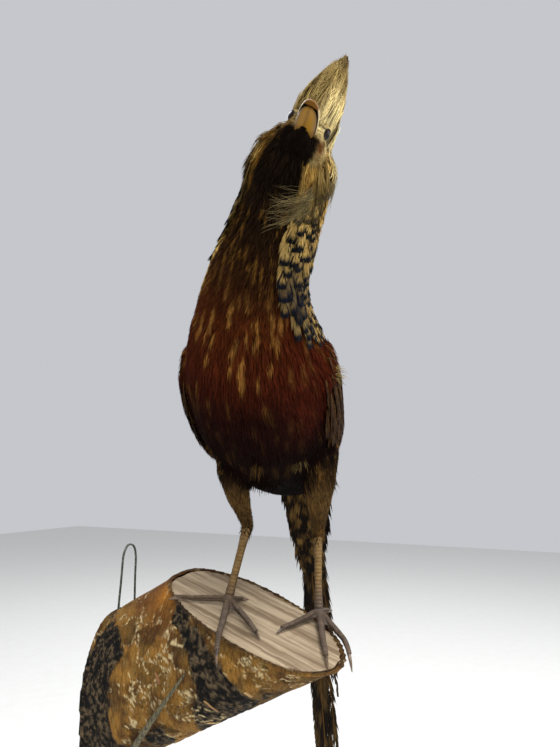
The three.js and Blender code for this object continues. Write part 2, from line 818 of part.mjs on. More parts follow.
for (const [side, leg] of Object.entries(LEGS)) {
  const sign = side === 'left' ? 1 : -1;
  add(bird, `wing_${side}`, wingBody(sign), FINISH.wing());
  const thigh = taper(thighPoints(leg), THIGH_RADII, { rings: 6, around: 12 });
  add(bird, `thigh_${side}`, cut(thigh, bodyGrown, wingBody(sign, GAP)), FINISH.thigh());
  const shankLine = shankPoints(leg);
  const thighGrown = taper(thighPoints(leg), THIGH_RADII, { rings: 6, around: 12, grow: GAP });
  add(bird, `shank_${side}`, cut(taper(shankLine, SHANK_RADII), thighGrown), FINISH.leg());
  const shankGrown = taper(shankLine, SHANK_RADII, { grow: GAP });
  add(bird, `foot_${side}`, footSolid(side, leg, shankGrown), FINISH.leg());
}
for (const [name, toe] of Object.entries(TOES)) {
  const leg = LEGS[name.split('_')[0]];
  add(bird, `claw_${name}`, clawSolid(leg, toe), FINISH.claw());
}

for (const feather of TAIL_FEATHERS) {
  add(bird, feather.name, cut(featherBody(feather), bodyGrown), FINISH.tail());
}
const wingsGrown = [1, -1].map((sign) => wingBody(sign, GAP));
const upperCoverts = cut(covertBody(1), bodyGrown, ...wingsGrown);
add(bird, 'tail_coverts_upper', upperCoverts, FINISH.wing());
add(bird, 'tail_coverts_under', cut(covertBody(-1), bodyGrown), FINISH.tail());

export default part;
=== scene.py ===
"""Looks of a golden pheasant mounted on a birch log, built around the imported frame.

Lengths of the bird are in millimetres in its own frame (x forward, y to its left, z up);
they become metres in the row's frame when a mesh is made.
"""

import logging
import math
from dataclasses import dataclass, field
from enum import Enum
from typing import Callable, Sequence

import bpy
import numpy as np
from mathutils import Matrix, Vector
from mathutils.bvhtree import BVHTree


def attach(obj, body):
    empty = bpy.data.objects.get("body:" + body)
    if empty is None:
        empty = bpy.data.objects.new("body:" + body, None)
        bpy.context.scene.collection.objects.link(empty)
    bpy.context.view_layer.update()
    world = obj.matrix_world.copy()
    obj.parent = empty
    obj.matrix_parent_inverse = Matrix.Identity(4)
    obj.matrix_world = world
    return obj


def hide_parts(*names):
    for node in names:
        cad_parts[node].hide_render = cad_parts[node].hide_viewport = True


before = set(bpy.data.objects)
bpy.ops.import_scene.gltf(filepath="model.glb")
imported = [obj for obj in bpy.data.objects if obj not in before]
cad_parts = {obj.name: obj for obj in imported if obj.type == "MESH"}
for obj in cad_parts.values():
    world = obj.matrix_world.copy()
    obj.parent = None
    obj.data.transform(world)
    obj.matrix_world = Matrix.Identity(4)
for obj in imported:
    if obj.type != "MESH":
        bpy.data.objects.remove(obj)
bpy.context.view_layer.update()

LOG = logging.getLogger("pheasant")
MM = 0.001
Array = np.ndarray

# ------------------------------------------------------------------ driving sizes

BIRD_AT = np.array([-17.5, -189.5, 96.5])
BIRD_HEADING = 189.0
HEAD_AT = np.array([208.6, 77.6, 321.5])
HEAD_YAW, HEAD_PITCH, HEAD_ROLL = 21.9, -3.3, 25.6
FACE_RISE_X, FACE_RISE_Y = 0.22, 0.25
# The way of the log away from the wall.
LOG_RUN = np.array([-0.19, -1.0, 0.52])

# Along the body from the tail root to the inside of the head: place, half width, half depth.
BODY_STATIONS = (
    ((-50, 20, 112), 16, 15),
    ((-27, 10, 128), 41, 34),
    ((6, 2, 151), 57, 50),
    ((42, 3, 177), 62, 58),
    ((76, 7, 204), 61, 58),
    ((105, 12, 231), 50, 49),
    ((128, 22, 256), 38, 38),
    ((147, 37, 280), 31, 31),
    ((164, 51, 302), 27, 26),
    ((180, 62, 319), 26, 24),
    ((196, 71, 333), 13, 13),
)
CREST_TIP = np.array([-7.0, 0.0, 63.0])
EYE_AT = np.array([-9.5, 9.7, 7.4])
EYE_RADIUS = 4.6
# The length of the body line, the radius of the front, and where the legs part.
BODY_LENGTH = 335.0
FRONT_RADIUS = 46.0
LEG_PARTING = 5.0
LEG_MIDDLES = (42, -27)
# The share of the unwrap that the rolled-out body takes, round it and along it.
UNWRAP_ROUND, UNWRAP_RUN = 0.98, 0.48
UNWRAP_PATCH = 0.003


def linear(code: str) -> Array:
    """A hex colour as linear red, green and blue."""
    values = np.array([int(code[i : i + 2], 16) / 255 for i in (0, 2, 4)])
    return np.where(values <= 0.04045, values / 12.92, ((values + 0.055) / 1.055) ** 2.4)


class Tone(Enum):
    """The colours of the plumage and of the bare parts."""

    STRAW = "8f7a4a"
    CREAM = "d8c48c"
    OLIVE = "5f4d28"
    SHADE = "4a3a1e"
    TIP = "3c2c18"
    RUST = "7d451c"
    THROAT = "150d08"
    FLECK = "8a6227"
    SCARLET = "4c1b0b"
    STREAK = "a87838"
    BELLY = "100706"
    BUFF = "a97f3c"
    GOLD = "cfa75a"
    INK = "060607"
    MANTLE = "12301f"
    RUMP = "d8a02c"
    WING = "33200f"
    WING_BAR = "7d5829"
    TERTIAL = "141d38"
    THIGH = "604828"
    TAIL = "140d08"
    TAIL_SPOT = "8a6a3a"
    LEG = "765c36"
    FOOT = "54463a"

    @property
    def rgb(self) -> Array:
        """Linear red, green and blue."""
        return linear(self.value)


# ------------------------------------------------------------------ small maths


def smooth(x: Array, low: float, high: float) -> Array:
    """A soft step from 0 at `low` to 1 at `high`."""
    t = np.clip((np.asarray(x, float) - low) / (high - low), 0, 1)
    return t * t * (3 - 2 * t)


def blend(a: Array, b: Array, share: Array) -> Array:
    """Colours or vectors from `a` to `b` by a share for each row."""
    share = np.asarray(share, float)[..., None]
    return a * (1 - share) + b * share


def unit(v: Array) -> Array:
    """Vectors brought to length one."""
    return v / np.maximum(np.linalg.norm(v, axis=-1, keepdims=True), 1e-9)


def scatter(cells: Array, salt: float = 0.0) -> Array:
    """A repeatable number from 0 to 1 for each row of whole-numbered cells."""
    mix = cells @ np.array([127.1, 311.7, 74.7])[: cells.shape[-1]] + salt * 17.31
    return np.modf(np.abs(np.sin(mix) * 43758.5453))[0]


def turn_z(degrees: float) -> Array:
    """The matrix of a turn about Z."""
    c, s = math.cos(math.radians(degrees)), math.sin(math.radians(degrees))
    return np.array([[c, -s, 0], [s, c, 0], [0, 0, 1]])


def turn_y(degrees: float) -> Array:
    """The matrix of a turn about Y."""
    c, s = math.cos(math.radians(degrees)), math.sin(math.radians(degrees))
    return np.array([[c, 0, s], [0, 1, 0], [-s, 0, c]])


def turn_x(degrees: float) -> Array:
    """The matrix of a turn about X."""
    c, s = math.cos(math.radians(degrees)), math.sin(math.radians(degrees))
    return np.array([[1, 0, 0], [0, c, -s], [0, s, c]])


BIRD_TURN = turn_z(BIRD_HEADING)
HEAD_TURN = turn_z(HEAD_YAW) @ turn_y(-HEAD_PITCH) @ turn_x(-HEAD_ROLL)


def to_row(points: Array) -> Array:
    """Bird-frame millimetres as row-frame metres."""
    return (points @ BIRD_TURN.T + BIRD_AT) * MM


def to_bird(points: Array) -> Array:
    """Row-frame metres as bird-frame millimetres."""
    return (points / MM - BIRD_AT) @ BIRD_TURN


def head_to_bird(points: Array) -> Array:
    """Head-frame millimetres as bird-frame millimetres."""
    return points @ HEAD_TURN.T + HEAD_AT


def bird_to_head(points: Array) -> Array:
    """Bird-frame millimetres as head-frame millimetres."""
    return (points - HEAD_AT) @ HEAD_TURN


def catmull(points: Array, count: int) -> Array:
    """A smooth line through points, at evenly stepped shares."""
    last = len(points) - 1
    padded = np.vstack([2 * points[0] - points[1], points, 2 * points[-1] - points[-2]])
    rows = []
    for share in np.linspace(0, last, count):
        i = min(int(share), last - 1)
        t = share - i
        p0, p1, p2, p3 = padded[i : i + 4]
        rows.append(
            0.5 * (2 * p1 + (p2 - p0) * t + (2 * p0 - 5 * p1 + 4 * p2 - p3) * t**2
                   + (3 * p1 - p0 - 3 * p2 + p3) * t**3)
        )
    return np.array(rows)


class BodyLine:
    """The line of the body from tail root to head, with a frame and half sizes along it."""

    COUNT = 221

    def __init__(self) -> None:
        """Samples the line through the stations."""
        centre = catmull(np.array([s[0] for s in BODY_STATIONS], float), self.COUNT)
        sizes = catmull(np.array([s[1:] for s in BODY_STATIONS], float), self.COUNT)
        self.share = np.linspace(0, 1, self.COUNT)
        self.centre = centre
        self.wide, self.deep = sizes[:, 0], sizes[:, 1]
        self.along = unit(np.gradient(centre, axis=0))
        turn = smooth(self.share, 0.45, 0.78)
        back = unit(blend(np.array([0, 0, 1.0]), np.array([-1, -0.2, 0.25]), turn))
        self.left = unit(np.cross(back, self.along))
        self.up = np.cross(self.along, self.left)

    def read(self, points: Array) -> tuple[Array, Array, Array]:
        """Where points lie on the body.

        Args:
            points: bird-frame millimetres.

        Returns:
            The share of the line, the angle from the left towards the back in degrees,
            and the line's direction towards the head.
        """
        shares, angles, along = [], [], []
        for part in np.array_split(points, max(1, len(points) // 4000)):
            gap = ((part[:, None, :] - self.centre[None]) ** 2).sum(-1)
            i = gap.argmin(1)
            d = part - self.centre[i]
            x = (d * self.left[i]).sum(1) / self.wide[i]
            y = (d * self.up[i]).sum(1) / self.deep[i]
            shares.append(self.share[i])
            angles.append(np.degrees(np.arctan2(y, x)))
            along.append(self.along[i])
        return np.concatenate(shares), np.concatenate(angles), np.concatenate(along)

    def surface(self, share: Array, angle: Array, rise: Array) -> tuple[Array, Array, Array]:
        """Points over the body's surface.

        Args:
            share: places along the line.
            angle: degrees from the left towards the back.
            rise: millimetres outside the surface.

        Returns:
            The points, the outward directions and the line's direction there.
        """
        def read(table: Array) -> Array:
            """A table of the line, read at the shares."""
            if table.ndim == 1:
                return np.interp(share, self.share, table)
            return np.stack([np.interp(share, self.share, table[:, k]) for k in range(3)], -1)

        c, s = np.cos(np.radians(angle)), np.sin(np.radians(angle))
        wide, deep = read(self.wide), read(self.deep)
        left, up = unit(read(self.left)), unit(read(self.up))
        out = unit(left * (c / wide)[:, None] + up * (s / deep)[:, None])
        point = read(self.centre) + left * (c * wide)[:, None] + up * (s * deep)[:, None]
        return point + out * np.asarray(rise)[..., None], out, unit(read(self.along))


BODY = BodyLine()


# ------------------------------------------------------------------ markings


def spots(across: Array, along: Array, width: float, length: float, share: float, salt: float) -> Array:
    """Soft elongated spots, one in some of the cells of a jittered grid.

    Args:
        across: distances over the lie of the coat, in millimetres.
        along: distances with the lie.
        width: cell size across.
        length: cell size along.
        share: how many of the cells hold a spot.
        salt: a number that picks one pattern.

    Returns:
        The strength of the spot at each place, 0 to 1.
    """
    best = np.zeros(len(across))
    plane = np.stack([across, along, along * 0 + salt], -1)
    across = across + 0.5 * width * (clouds(plane, 0.45 * width, salt) - 0.5)
    along = along + 0.5 * length * (clouds(plane, 0.5 * width, salt + 7) - 0.5)
    column, row = np.floor(across / width), np.floor(along / length)
    for i in (-1, 0, 1):
        for j in (-1, 0, 1):
            cell = np.stack([column + i, row + j], -1)
            held = scatter(cell, salt) < share
            x = (column + i + 0.5 + 0.7 * (scatter(cell, salt + 1) - 0.5)) * width
            y = (row + j + 0.5 + 0.7 * (scatter(cell, salt + 2) - 0.5)) * length
            size = 0.6 + 0.8 * scatter(cell, salt + 3)
            near = ((across - x) / (0.22 * width * size)) ** 2 + ((along - y) / (0.42 * length * size)) ** 2
            best = np.maximum(best, held * np.clip(1.5 - near, 0, 1) ** 1.4)
    return best


def clouds(points: Array, size: float, salt: float = 0.0) -> Array:
    """Soft wandering values from 0 to 1 over points, with blotches of about `size`."""
    total = np.zeros(len(points))
    for octave, weight in ((1.0, 0.6), (2.3, 0.4)):
        grid = points / size * octave
        cell = np.floor(grid)
        f = grid - cell
        f = f * f * (3 - 2 * f)
        value = np.zeros(len(points))
        for corner in np.ndindex(2, 2, 2):
            k = np.array(corner)
            share = np.prod(np.where(k, f, 1 - f), axis=1)
            value += share * scatter(cell + k, salt + octave)
        total += weight * value
    return total


class Region(Enum):
    """What part of the bird a place on the skin belongs to, by its solid's name."""

    TRUNK = "trunk"
    NECK = "neck"
    HEAD = "head"
    CREST = "crest"
    CAPE = "cape"
    WING = "wing_left wing_right"
    THIGH = "thigh_left thigh_right"
    SHANK = "shank_left shank_right"
    FOOT = "foot_left foot_right"


REGIONS = list(Region)


class Markings:
    """The colour of skin and coat at a place, worked out from where it is on the bird."""

    # Down the middle of throat, breast and belly: share of the body line, colour. The darkness of the belly,
    # at the lowest shares, is partly painted shade.
    front_line = (
        (0.14, "0e0605"),
        (0.28, "140705"),
        (0.38, "220a06"),
        (0.46, "441a0a"),
        (0.55, "4c230c"),
        (0.64, "301a0b"),
        (0.73, "24160b"),
        (0.84, "180f08"),
    )

    def front(self, share: Array) -> Array:
        """The ground colour of the front at a share of the body line."""
        stops = np.array([s for s, _ in self.front_line])
        colours = np.array([linear(c) for _, c in self.front_line])
        return np.stack([np.interp(share, stops, colours[:, k]) for k in range(3)], -1)

    def body(self, points: Array) -> Array:
        """Colours of trunk, neck and belly."""
        share, angle, _ = BODY.read(points)
        turn = (angle + 270) % 360 - 180
        across, along = np.radians(turn) * FRONT_RADIUS, share * BODY_LENGTH
        colour = self.front(share)
        red = smooth(turn, 14, 50) * smooth(-turn, -120, -85)
        red = red * smooth(share, 0.26, 0.40) * smooth(-share, -0.66, -0.54)
        colour = blend(colour, Tone.SCARLET.rgb, 0.65 * red)
        streak = spots(across, along, 8.5, 13, 0.55, 3)
        keen = smooth(share, 0.38, 0.5) * smooth(-share, -0.66, -0.54) + 0.1 * smooth(share, 0.18, 0.24)
        keen = np.clip(keen, 0, 1) * smooth(-share, -0.7, -0.6) * (1 - 0.55 * red)
        colour = blend(colour, Tone.STREAK.rgb, 0.6 * streak * keen * (0.5 + 0.8 * clouds(points, 25, 17)))
        fleck = spots(across, along, 6.5, 9, 0.5, 9)
        keen = smooth(share, 0.56, 0.66) * smooth(-share, -0.86, -0.76)
        colour = blend(colour, Tone.FLECK.rgb, 0.4 * fleck * keen)
        back = smooth(np.abs(turn), 112, 134)
        mantle = blend(Tone.MANTLE.rgb, Tone.RUMP.rgb, smooth(-share, -0.44, -0.36))
        colour = blend(colour, mantle, back * smooth(-share, -0.62, -0.5))
        mottle = clouds(points, 6, 4)
        high = smooth(share, 0.76, 0.84)
        ruff = blend(Tone.SHADE.rgb * 0.6, Tone.FLECK.rgb * 0.8, smooth(mottle, 0.35, 0.7))
        colour = blend(colour, ruff, high * smooth(-turn + 8 * (clouds(points, 8, 24) - 0.5), 48, 58))
        buff = blend(Tone.FLECK.rgb, Tone.GOLD.rgb, smooth(mottle, 0.3, 0.7))
        colour = blend(colour, buff, high * smooth(turn, 24, 34))
        return colour * (0.7 + 0.6 * clouds(points, 12, 1))[:, None]

    def head(self, points: Array) -> Array:
        """Colours of the face, cheeks, chin and crown."""
        q = bird_to_head(points)
        x, y, z = q.T
        n = clouds(points, 5, 6)
        colour = blend(Tone.STRAW.rgb, Tone.CREAM.rgb, smooth(n, 0.3, 0.7) * smooth(y, -4, 6))
        colour = blend(colour, Tone.OLIVE.rgb, 0.45 * smooth(-y, 2, 9))
        rear = smooth(-x, 12, 24)
        colour = blend(colour, blend(Tone.BUFF.rgb, Tone.GOLD.rgb, n), 0.6 * rear)
        patch = np.exp(-(((x + 9) / 7) ** 2 + ((z + 3.0) / 4.0) ** 2)) * smooth(np.abs(y), 5, 9)
        colour = blend(colour, Tone.RUST.rgb, 0.85 * patch)
        slit = np.exp(-(((x + 3.6) / 2.6) ** 2 + ((z - 7.6) / 0.8) ** 2))
        colour = blend(colour, Tone.TIP.rgb * 0.5, slit)
        ragged = 3.0 * (clouds(points, 3, 19) - 0.5)
        chin = smooth(-z + ragged, 0.2, 2.6) * smooth(-np.abs(y + 1.5) + ragged, -14.5, -11)
        colour = blend(colour, Tone.THROAT.rgb, chin)
        return colour * (0.75 + 0.5 * clouds(points, 4, 8))[:, None]

    def crest(self, points: Array) -> Array:
        """Colours of the crest and its rear plume."""
        q = bird_to_head(points)
        x, y, z = q.T
        lock = clouds(np.stack([y, x * 0.8, z * 0.16], -1), 2.6, 2)
        colour = blend(Tone.OLIVE.rgb, Tone.STRAW.rgb, smooth(lock, 0.25, 0.72))
        pale = smooth(y, 0, 8) * smooth(-z, -42, -20)
        colour = blend(colour, Tone.CREAM.rgb * 1.35, 0.95 * pale * smooth(lock, 0.15, 0.5))
        colour = blend(colour, Tone.SHADE.rgb, 0.7 * smooth(-lock, -0.38, -0.22))
        plume = smooth(-x - 0.2 * z, 26, 38)
        colour = blend(colour, blend(Tone.SHADE.rgb, Tone.OLIVE.rgb, lock), 0.85 * plume)
        colour = blend(colour, Tone.TIP.rgb * 1.3, 0.6 * smooth(z - 0.3 * x, 46, 64))
        return colour * (0.72 + 0.56 * clouds(points, 3, 5))[:, None]

    def cape(self, points: Array) -> Array:
        """Colours of the cape: gold, barred with black."""
        bars = clouds(points, 7, 12)
        colour = blend(Tone.GOLD.rgb, Tone.INK.rgb, smooth(bars, 0.5, 0.62))
        return colour

    def wing(self, points: Array) -> Array:
        """Colours of the folded wing: brown, mottled with ochre."""
        bars = clouds(points * np.array([2.2, 1, 1]), 8, 13)
        return blend(Tone.WING.rgb, Tone.WING_BAR.rgb, smooth(bars, 0.5, 0.7))

    def thigh(self, points: Array) -> Array:
        """Colours of the thigh: ochre brown, black at its root."""
        high = smooth(points[:, 2] + 0.2 * points[:, 0], 98, 124)
        colour = blend(Tone.THIGH.rgb, Tone.BELLY.rgb, 0.8 * high)
        colour = blend(colour, Tone.TIP.rgb, 0.6 * smooth(-points[:, 2], -92, -76))
        bars = clouds(points, 5, 15)
        colour = blend(colour, Tone.STREAK.rgb, 0.25 * smooth(bars, 0.55, 0.7) * (points[:, 1] > 20))
        return colour * (0.7 + 0.6 * clouds(points, 4, 3))[:, None]

    def leg(self, points: Array) -> Array:
        """Colours of shank and foot: tan above, grey-brown at the toes."""
        low = smooth(-points[:, 2], -34, -4)
        colour = blend(Tone.LEG.rgb, Tone.FOOT.rgb, low)
        return colour * (0.8 + 0.4 * clouds(points, 4, 7))[:, None]

    def at(self, points: Array, region: Array) -> Array:
        """Colours at places.

        Args:
            points: bird-frame millimetres.
            region: the index in REGIONS of each point.

        Returns:
            Linear colours, one row for each point.
        """
        makers: dict[Region, Callable[[Array], Array]] = {
            Region.TRUNK: self.body,
            Region.NECK: self.body,
            Region.HEAD: self.head,
            Region.CREST: self.crest,
            Region.CAPE: self.cape,
            Region.WING: self.wing,
            Region.THIGH: self.thigh,
            Region.SHANK: self.leg,
            Region.FOOT: self.leg,
        }
        colour = np.zeros((len(points), 3))
        for index, name in enumerate(REGIONS):
            held = region == index
            if held.any():
                colour[held] = makers[name](points[held])
        return colour


MARKINGS = Markings()


# ------------------------------------------------------------------ shader maths


class Signal:
    """A node socket that can be used in Python expressions."""

    def __init__(self, board: "Board", socket: bpy.types.NodeSocket) -> None:
        """Wraps a socket of a board."""
        self.board = board
        self.socket = socket

    def _math(self, operation: str, *values: "Signal | float") -> "Signal":
        """The result of one Math node."""
        return self.board.make("ShaderNodeMath", {"operation": operation}, *values)

    def __add__(self, other: "Signal | float") -> "Signal":
        """Sum."""
        return self._math("ADD", self, other)

    def __mul__(self, other: "Signal | float") -> "Signal":
        """Product."""
        return self._math("MULTIPLY", self, other)

    def step(self, low: float, high: float) -> "Signal":
        """A soft step from 0 at `low` to 1 at `high`."""
        settings = {"interpolation_type": "SMOOTHSTEP"}
        ends = {"From Min": low, "From Max": high}
        return self.board.make("ShaderNodeMapRange", settings, Value=self, **ends)


class Board:
    """The node tree of one material."""

    def __init__(self, name: str) -> None:
        """Makes a material with one Principled shader."""
        self.material = bpy.data.materials.new(name)
        self.material.use_nodes = True
        self.tree = self.material.node_tree
        self.shader = self.tree.nodes["Principled BSDF"]

    def make(self, kind: str, settings: dict | None = None, *values: object,
             out: str | int = 0, **named: object) -> Signal:
        """Adds a node.

        Args:
            kind: the node's type.
            settings: its own settings, set first.
            values: what goes into its inputs in order, links or constants.
            out: the output to read.
            named: what goes into its inputs by name.

        Returns:
            The chosen output.
        """
        node = self.tree.nodes.new(kind)
        for key, value in (settings or {}).items():
            setattr(node, key, value)
        for key, value in [*enumerate(values), *named.items()]:
            self._feed(node.inputs[key], value)
        return Signal(self, node.outputs[out])

    def _feed(self, socket: bpy.types.NodeSocket, value: object) -> None:
        """Links or sets one input."""
        if value is None:
            return
        if isinstance(value, Signal):
            self.tree.links.new(value.socket, socket)
        elif isinstance(value, (tuple, list, np.ndarray)):
            value = tuple(float(v) for v in value)
            lacks_alpha = len(socket.default_value) == 4 and len(value) == 3
            socket.default_value = (*value, 1.0) if lacks_alpha else value
        else:
            socket.default_value = value

    def mix(self, share: Signal | float, a: object, b: object) -> Signal:
        """A colour from `a` to `b`."""
        node = self.tree.nodes.new("ShaderNodeMix")
        node.data_type = "RGBA"
        self._feed(node.inputs["Factor"], share)
        self._feed(node.inputs[6], a)
        self._feed(node.inputs[7], b)
        return Signal(self, node.outputs[2])

    def place(self, scale: Sequence[float] = (1, 1, 1), turn: Sequence[float] = (0, 0, 0)) -> Signal:
        """Object coordinates, scaled and turned."""
        coordinates = self.make("ShaderNodeTexCoord", out="Object")
        return self.make("ShaderNodeMapping", None, Vector=coordinates, Rotation=turn, Scale=scale)

    def tint(self) -> Signal:
        """The colour stored on the mesh's own points."""
        return self.make("ShaderNodeAttribute", {"attribute_name": "tint"}, out="Color")

    def noise(self, vector: Signal, scale: float, detail: float = 4, rough: float = 0.55) -> Signal:
        """Noise over a vector."""
        return self.make("ShaderNodeTexNoise", None, out="Fac", Vector=vector, Scale=scale, Detail=detail,
                         Roughness=rough)

    def finish(self, colour: object, rough: object, bump: Signal | None = None, depth: float = 0.001,
               **fixed: float) -> bpy.types.Material:
        """Feeds the shader.

        Args:
            colour: base colour.
            rough: roughness.
            bump: height for a Bump node.
            depth: distance of the bump, in metres.
            fixed: constants for the shader's own sockets, with _ for each space.

        Returns:
            The material.
        """
        self._feed(self.shader.inputs["Base Color"], colour)
        self._feed(self.shader.inputs["Roughness"], rough)
        for key, value in fixed.items():
            self.shader.inputs[key.replace("_", " ")].default_value = value
        if bump is not None:
            normal = self.make("ShaderNodeBump", None, out="Normal", Height=bump, Distance=depth)
            self._feed(self.shader.inputs["Normal"], normal)
        return self.material


@dataclass(frozen=True)
class TintedFinish:
    """A finish that takes its colour from the mesh's own tint."""

    name: str
    rough: float = 0.6
    grain: float = 0.0
    gloss: float = 0.4

    def material(self) -> bpy.types.Material:
        """The material, with a fine grain over the tint."""
        board = Board(self.name)
        tint = board.tint()
        bump = None
        if self.grain:
            bump = board.noise(board.place(), 900, 3) * self.grain
        return board.finish(tint, self.rough, bump, 0.0006, Specular_IOR_Level=self.gloss)


@dataclass(frozen=True)
class HornFinish:
    """Polished horn, in two colours that melt into each other along the piece."""

    name: str
    dark: str
    light: str
    rough: float = 0.32
    scale: float = 90.0

    def material(self) -> bpy.types.Material:
        """The material."""
        board = Board(self.name)
        growth = board.noise(board.place((1, 1, 2.5)), self.scale, 5)
        colour = board.mix(growth.step(0.35, 0.65), linear(self.dark), linear(self.light))
        return board.finish(colour, growth.step(0, 2) * 0.4 + self.rough, growth, 0.0004, Coat_Weight=0.25)


@dataclass(frozen=True)
class WireFinish:
    """Dull dark green-grey wire."""

    def material(self) -> bpy.types.Material:
        """The material."""
        board = Board("dull_wire")
        wear = board.noise(board.place(), 420, 4)
        colour = board.mix(wear.step(0.45, 0.7), linear("3a4239"), linear("6f7468"))
        return board.finish(colour, wear * 0.3 + 0.3, wear, 0.0002, Metallic=0.75)


@dataclass(frozen=True)
class StemFinish:
    """A dry, ribbed stem."""

    def material(self) -> bpy.types.Material:
        """The material."""
        board = Board("dry_stem")
        rib = board.noise(board.place((1, 1, 0.15)), 700, 3)
        colour = board.mix(rib.step(0.4, 0.65), linear("2e2a1b"), linear("6d6443"))
        return board.finish(colour, 0.75, rib, 0.0006)


# ------------------------------------------------------------------ meshes from arrays


def new_object(name: str, mesh: bpy.types.Mesh, material: bpy.types.Material) -> bpy.types.Object:
    """Links a mesh to the scene as an object with one material."""
    piece = bpy.data.objects.new(name, mesh)
    bpy.context.scene.collection.objects.link(piece)
    mesh.materials.append(material)
    return piece


def dress(piece: bpy.types.Object, slot: str, *nodes: str) -> bpy.types.Object:
    """Rides a piece on the part and hides the solids that it stands for."""
    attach(piece, "root")
    if nodes:
        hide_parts(*nodes)
    LOG.info("%s: %d vertices, %d faces", piece.name, len(piece.data.vertices), len(piece.data.polygons))
    return piece


@dataclass
class Wisps:
    """Many thin pointed blades, each through a few rings, to be joined as one mesh."""

    rings: list[Array] = field(default_factory=list)
    ups: list[Array] = field(default_factory=list)
    widths: list[Array] = field(default_factory=list)
    tints: list[Array] = field(default_factory=list)
    seeds: list[Array] = field(default_factory=list)
    thickness: float = 0.22

    def add(self, rings: Array, ups: Array, widths: Array, tints: Array, seeds: Array) -> None:
        """Adds blades.

        Args:
            rings: (N, K, 3) centres from root to tip, bird-frame millimetres.
            ups: (N, K, 3) directions out of the blade's upper face.
            widths: (N, K) half widths.
            tints: (N, K, 3) linear colours.
            seeds: (N, 2) place of each root on the unwrap.
        """
        self.rings.append(rings)
        self.ups.append(ups)
        self.widths.append(widths)
        self.tints.append(tints)
        self.seeds.append(seeds)

    def mesh(self, name: str) -> bpy.types.Mesh:
        """The joined mesh, in the row's frame."""
        rings, ups = np.concatenate(self.rings), np.concatenate(self.ups)
        widths, tints = np.concatenate(self.widths), np.concatenate(self.tints)
        seeds = np.concatenate(self.seeds)
        count, k, _ = rings.shape
        along = unit(np.gradient(rings, axis=1))
        side = unit(np.cross(along, ups))
        lift = unit(np.cross(side, along)) * self.thickness
        body = rings[:, :-1]
        reach = side[:, :-1] * widths[:, :-1, None]
        three = np.stack([body - reach, body + lift[:, :-1], body + reach], 2).reshape(count, -1, 3)
        verts = np.concatenate([three, rings[:, -1:]], 1)
        per = verts.shape[1]
        faces: list[tuple[int, ...]] = [(0, 2, 1)]
        for r in range(k - 2):
            for j in range(3):
                a, b = 3 * r + j, 3 * r + (j + 1) % 3
                faces.append((a, b, b + 3, a + 3))
        last = 3 * (k - 2)
        faces += [(last + j, last + (j + 1) % 3, per - 1) for j in range(3)]
        loops = np.array([v for f in faces for v in f])
        sizes = np.array([len(f) for f in faces])
        all_loops = (loops[None] + per * np.arange(count)[:, None]).ravel()
        totals = np.tile(sizes, count)
        starts = np.concatenate([[0], np.cumsum(totals)[:-1]])
        mesh = bpy.data.meshes.new(name)
        mesh.vertices.add(count * per)
        mesh.vertices.foreach_set("co", to_row(verts.reshape(-1, 3)).astype(np.float32).ravel())
        mesh.loops.add(len(all_loops))
        mesh.loops.foreach_set("vertex_index", all_loops.astype(np.int32))
        mesh.polygons.add(len(totals))
        mesh.polygons.foreach_set("loop_start", starts.astype(np.int32))
        mesh.polygons.foreach_set("use_smooth", np.ones(len(totals), bool))
        mesh.update(calc_edges=True)
        tint = np.concatenate([np.repeat(tints[:, :-1], 3, axis=1), tints[:, -1:]], 1)
        paint(mesh, tint.reshape(-1, 3))
        level = np.append(np.repeat(np.arange(k - 1), 3), k - 1) / (k - 1)
        across = np.append(np.tile([0.0, 0.5, 1.0], k - 1), 0.5)
        patch = np.stack([across, level], -1) * UNWRAP_PATCH
        uv = (seeds[:, None] + patch[None]).reshape(-1, 2)
        layer = mesh.uv_layers.new(name="OFBake")
        layer.data.foreach_set("uv", uv[all_loops].astype(np.float32).ravel())
        return mesh


def paint(mesh: bpy.types.Mesh, colours: Array) -> None:
    """Stores linear colours on a mesh's points as its tint."""
    layer = mesh.color_attributes.new("tint", "FLOAT_COLOR", "POINT")
    full = np.ones((len(colours), 4), np.float32)
    full[:, :3] = np.clip(colours, 0, 1)
    layer.data.foreach_set("color", full.ravel())


def unwrap(points: Array, region: Array) -> Array:
    """Places on an unwrap of the skin: the body rolled out flat, and the head beside it.

    Args:
        points: bird-frame millimetres.
        region: the index in REGIONS of each point.

    Returns:
        Two shares from 0 to 1 for each point.
    """
    share, angle, _ = BODY.read(points)
    place = np.stack([(angle + 180) / 360 * UNWRAP_ROUND, share * UNWRAP_RUN], -1)
    q = bird_to_head(points)
    on_head = (region == REGIONS.index(Region.HEAD)) | (region == REGIONS.index(Region.CREST))
    turn = (np.degrees(np.arctan2(q[:, 2], q[:, 1])) + 180) / 360
    reach = np.clip((np.linalg.norm(q, axis=1)) / 80, 0, 1)
    place[on_head] = np.stack([0.49 * turn, 0.5 + 0.48 * reach], -1)[on_head]
    on_leg = region >= REGIONS.index(Region.THIGH)
    middle = np.where(points[:, 1] > LEG_PARTING, *LEG_MIDDLES)
    swing = (np.degrees(np.arctan2(points[:, 1] - middle, points[:, 0])) + 180) / 360
    drop = np.clip((points[:, 2] + 20) / 190, 0, 1)
    column = np.where(points[:, 1] > LEG_PARTING, 0.5, 0.75)
    place[on_leg] = np.stack([column + 0.24 * swing, 0.5 + 0.48 * drop], -1)[on_leg]
    return place


def root_place(angle: float, share: float) -> Array:
    """Where a feather's root lies on the unwrap."""
    return np.array([(angle + 180) % 360 / 360 * UNWRAP_ROUND, share * UNWRAP_RUN])


# ------------------------------------------------------------------ the skin


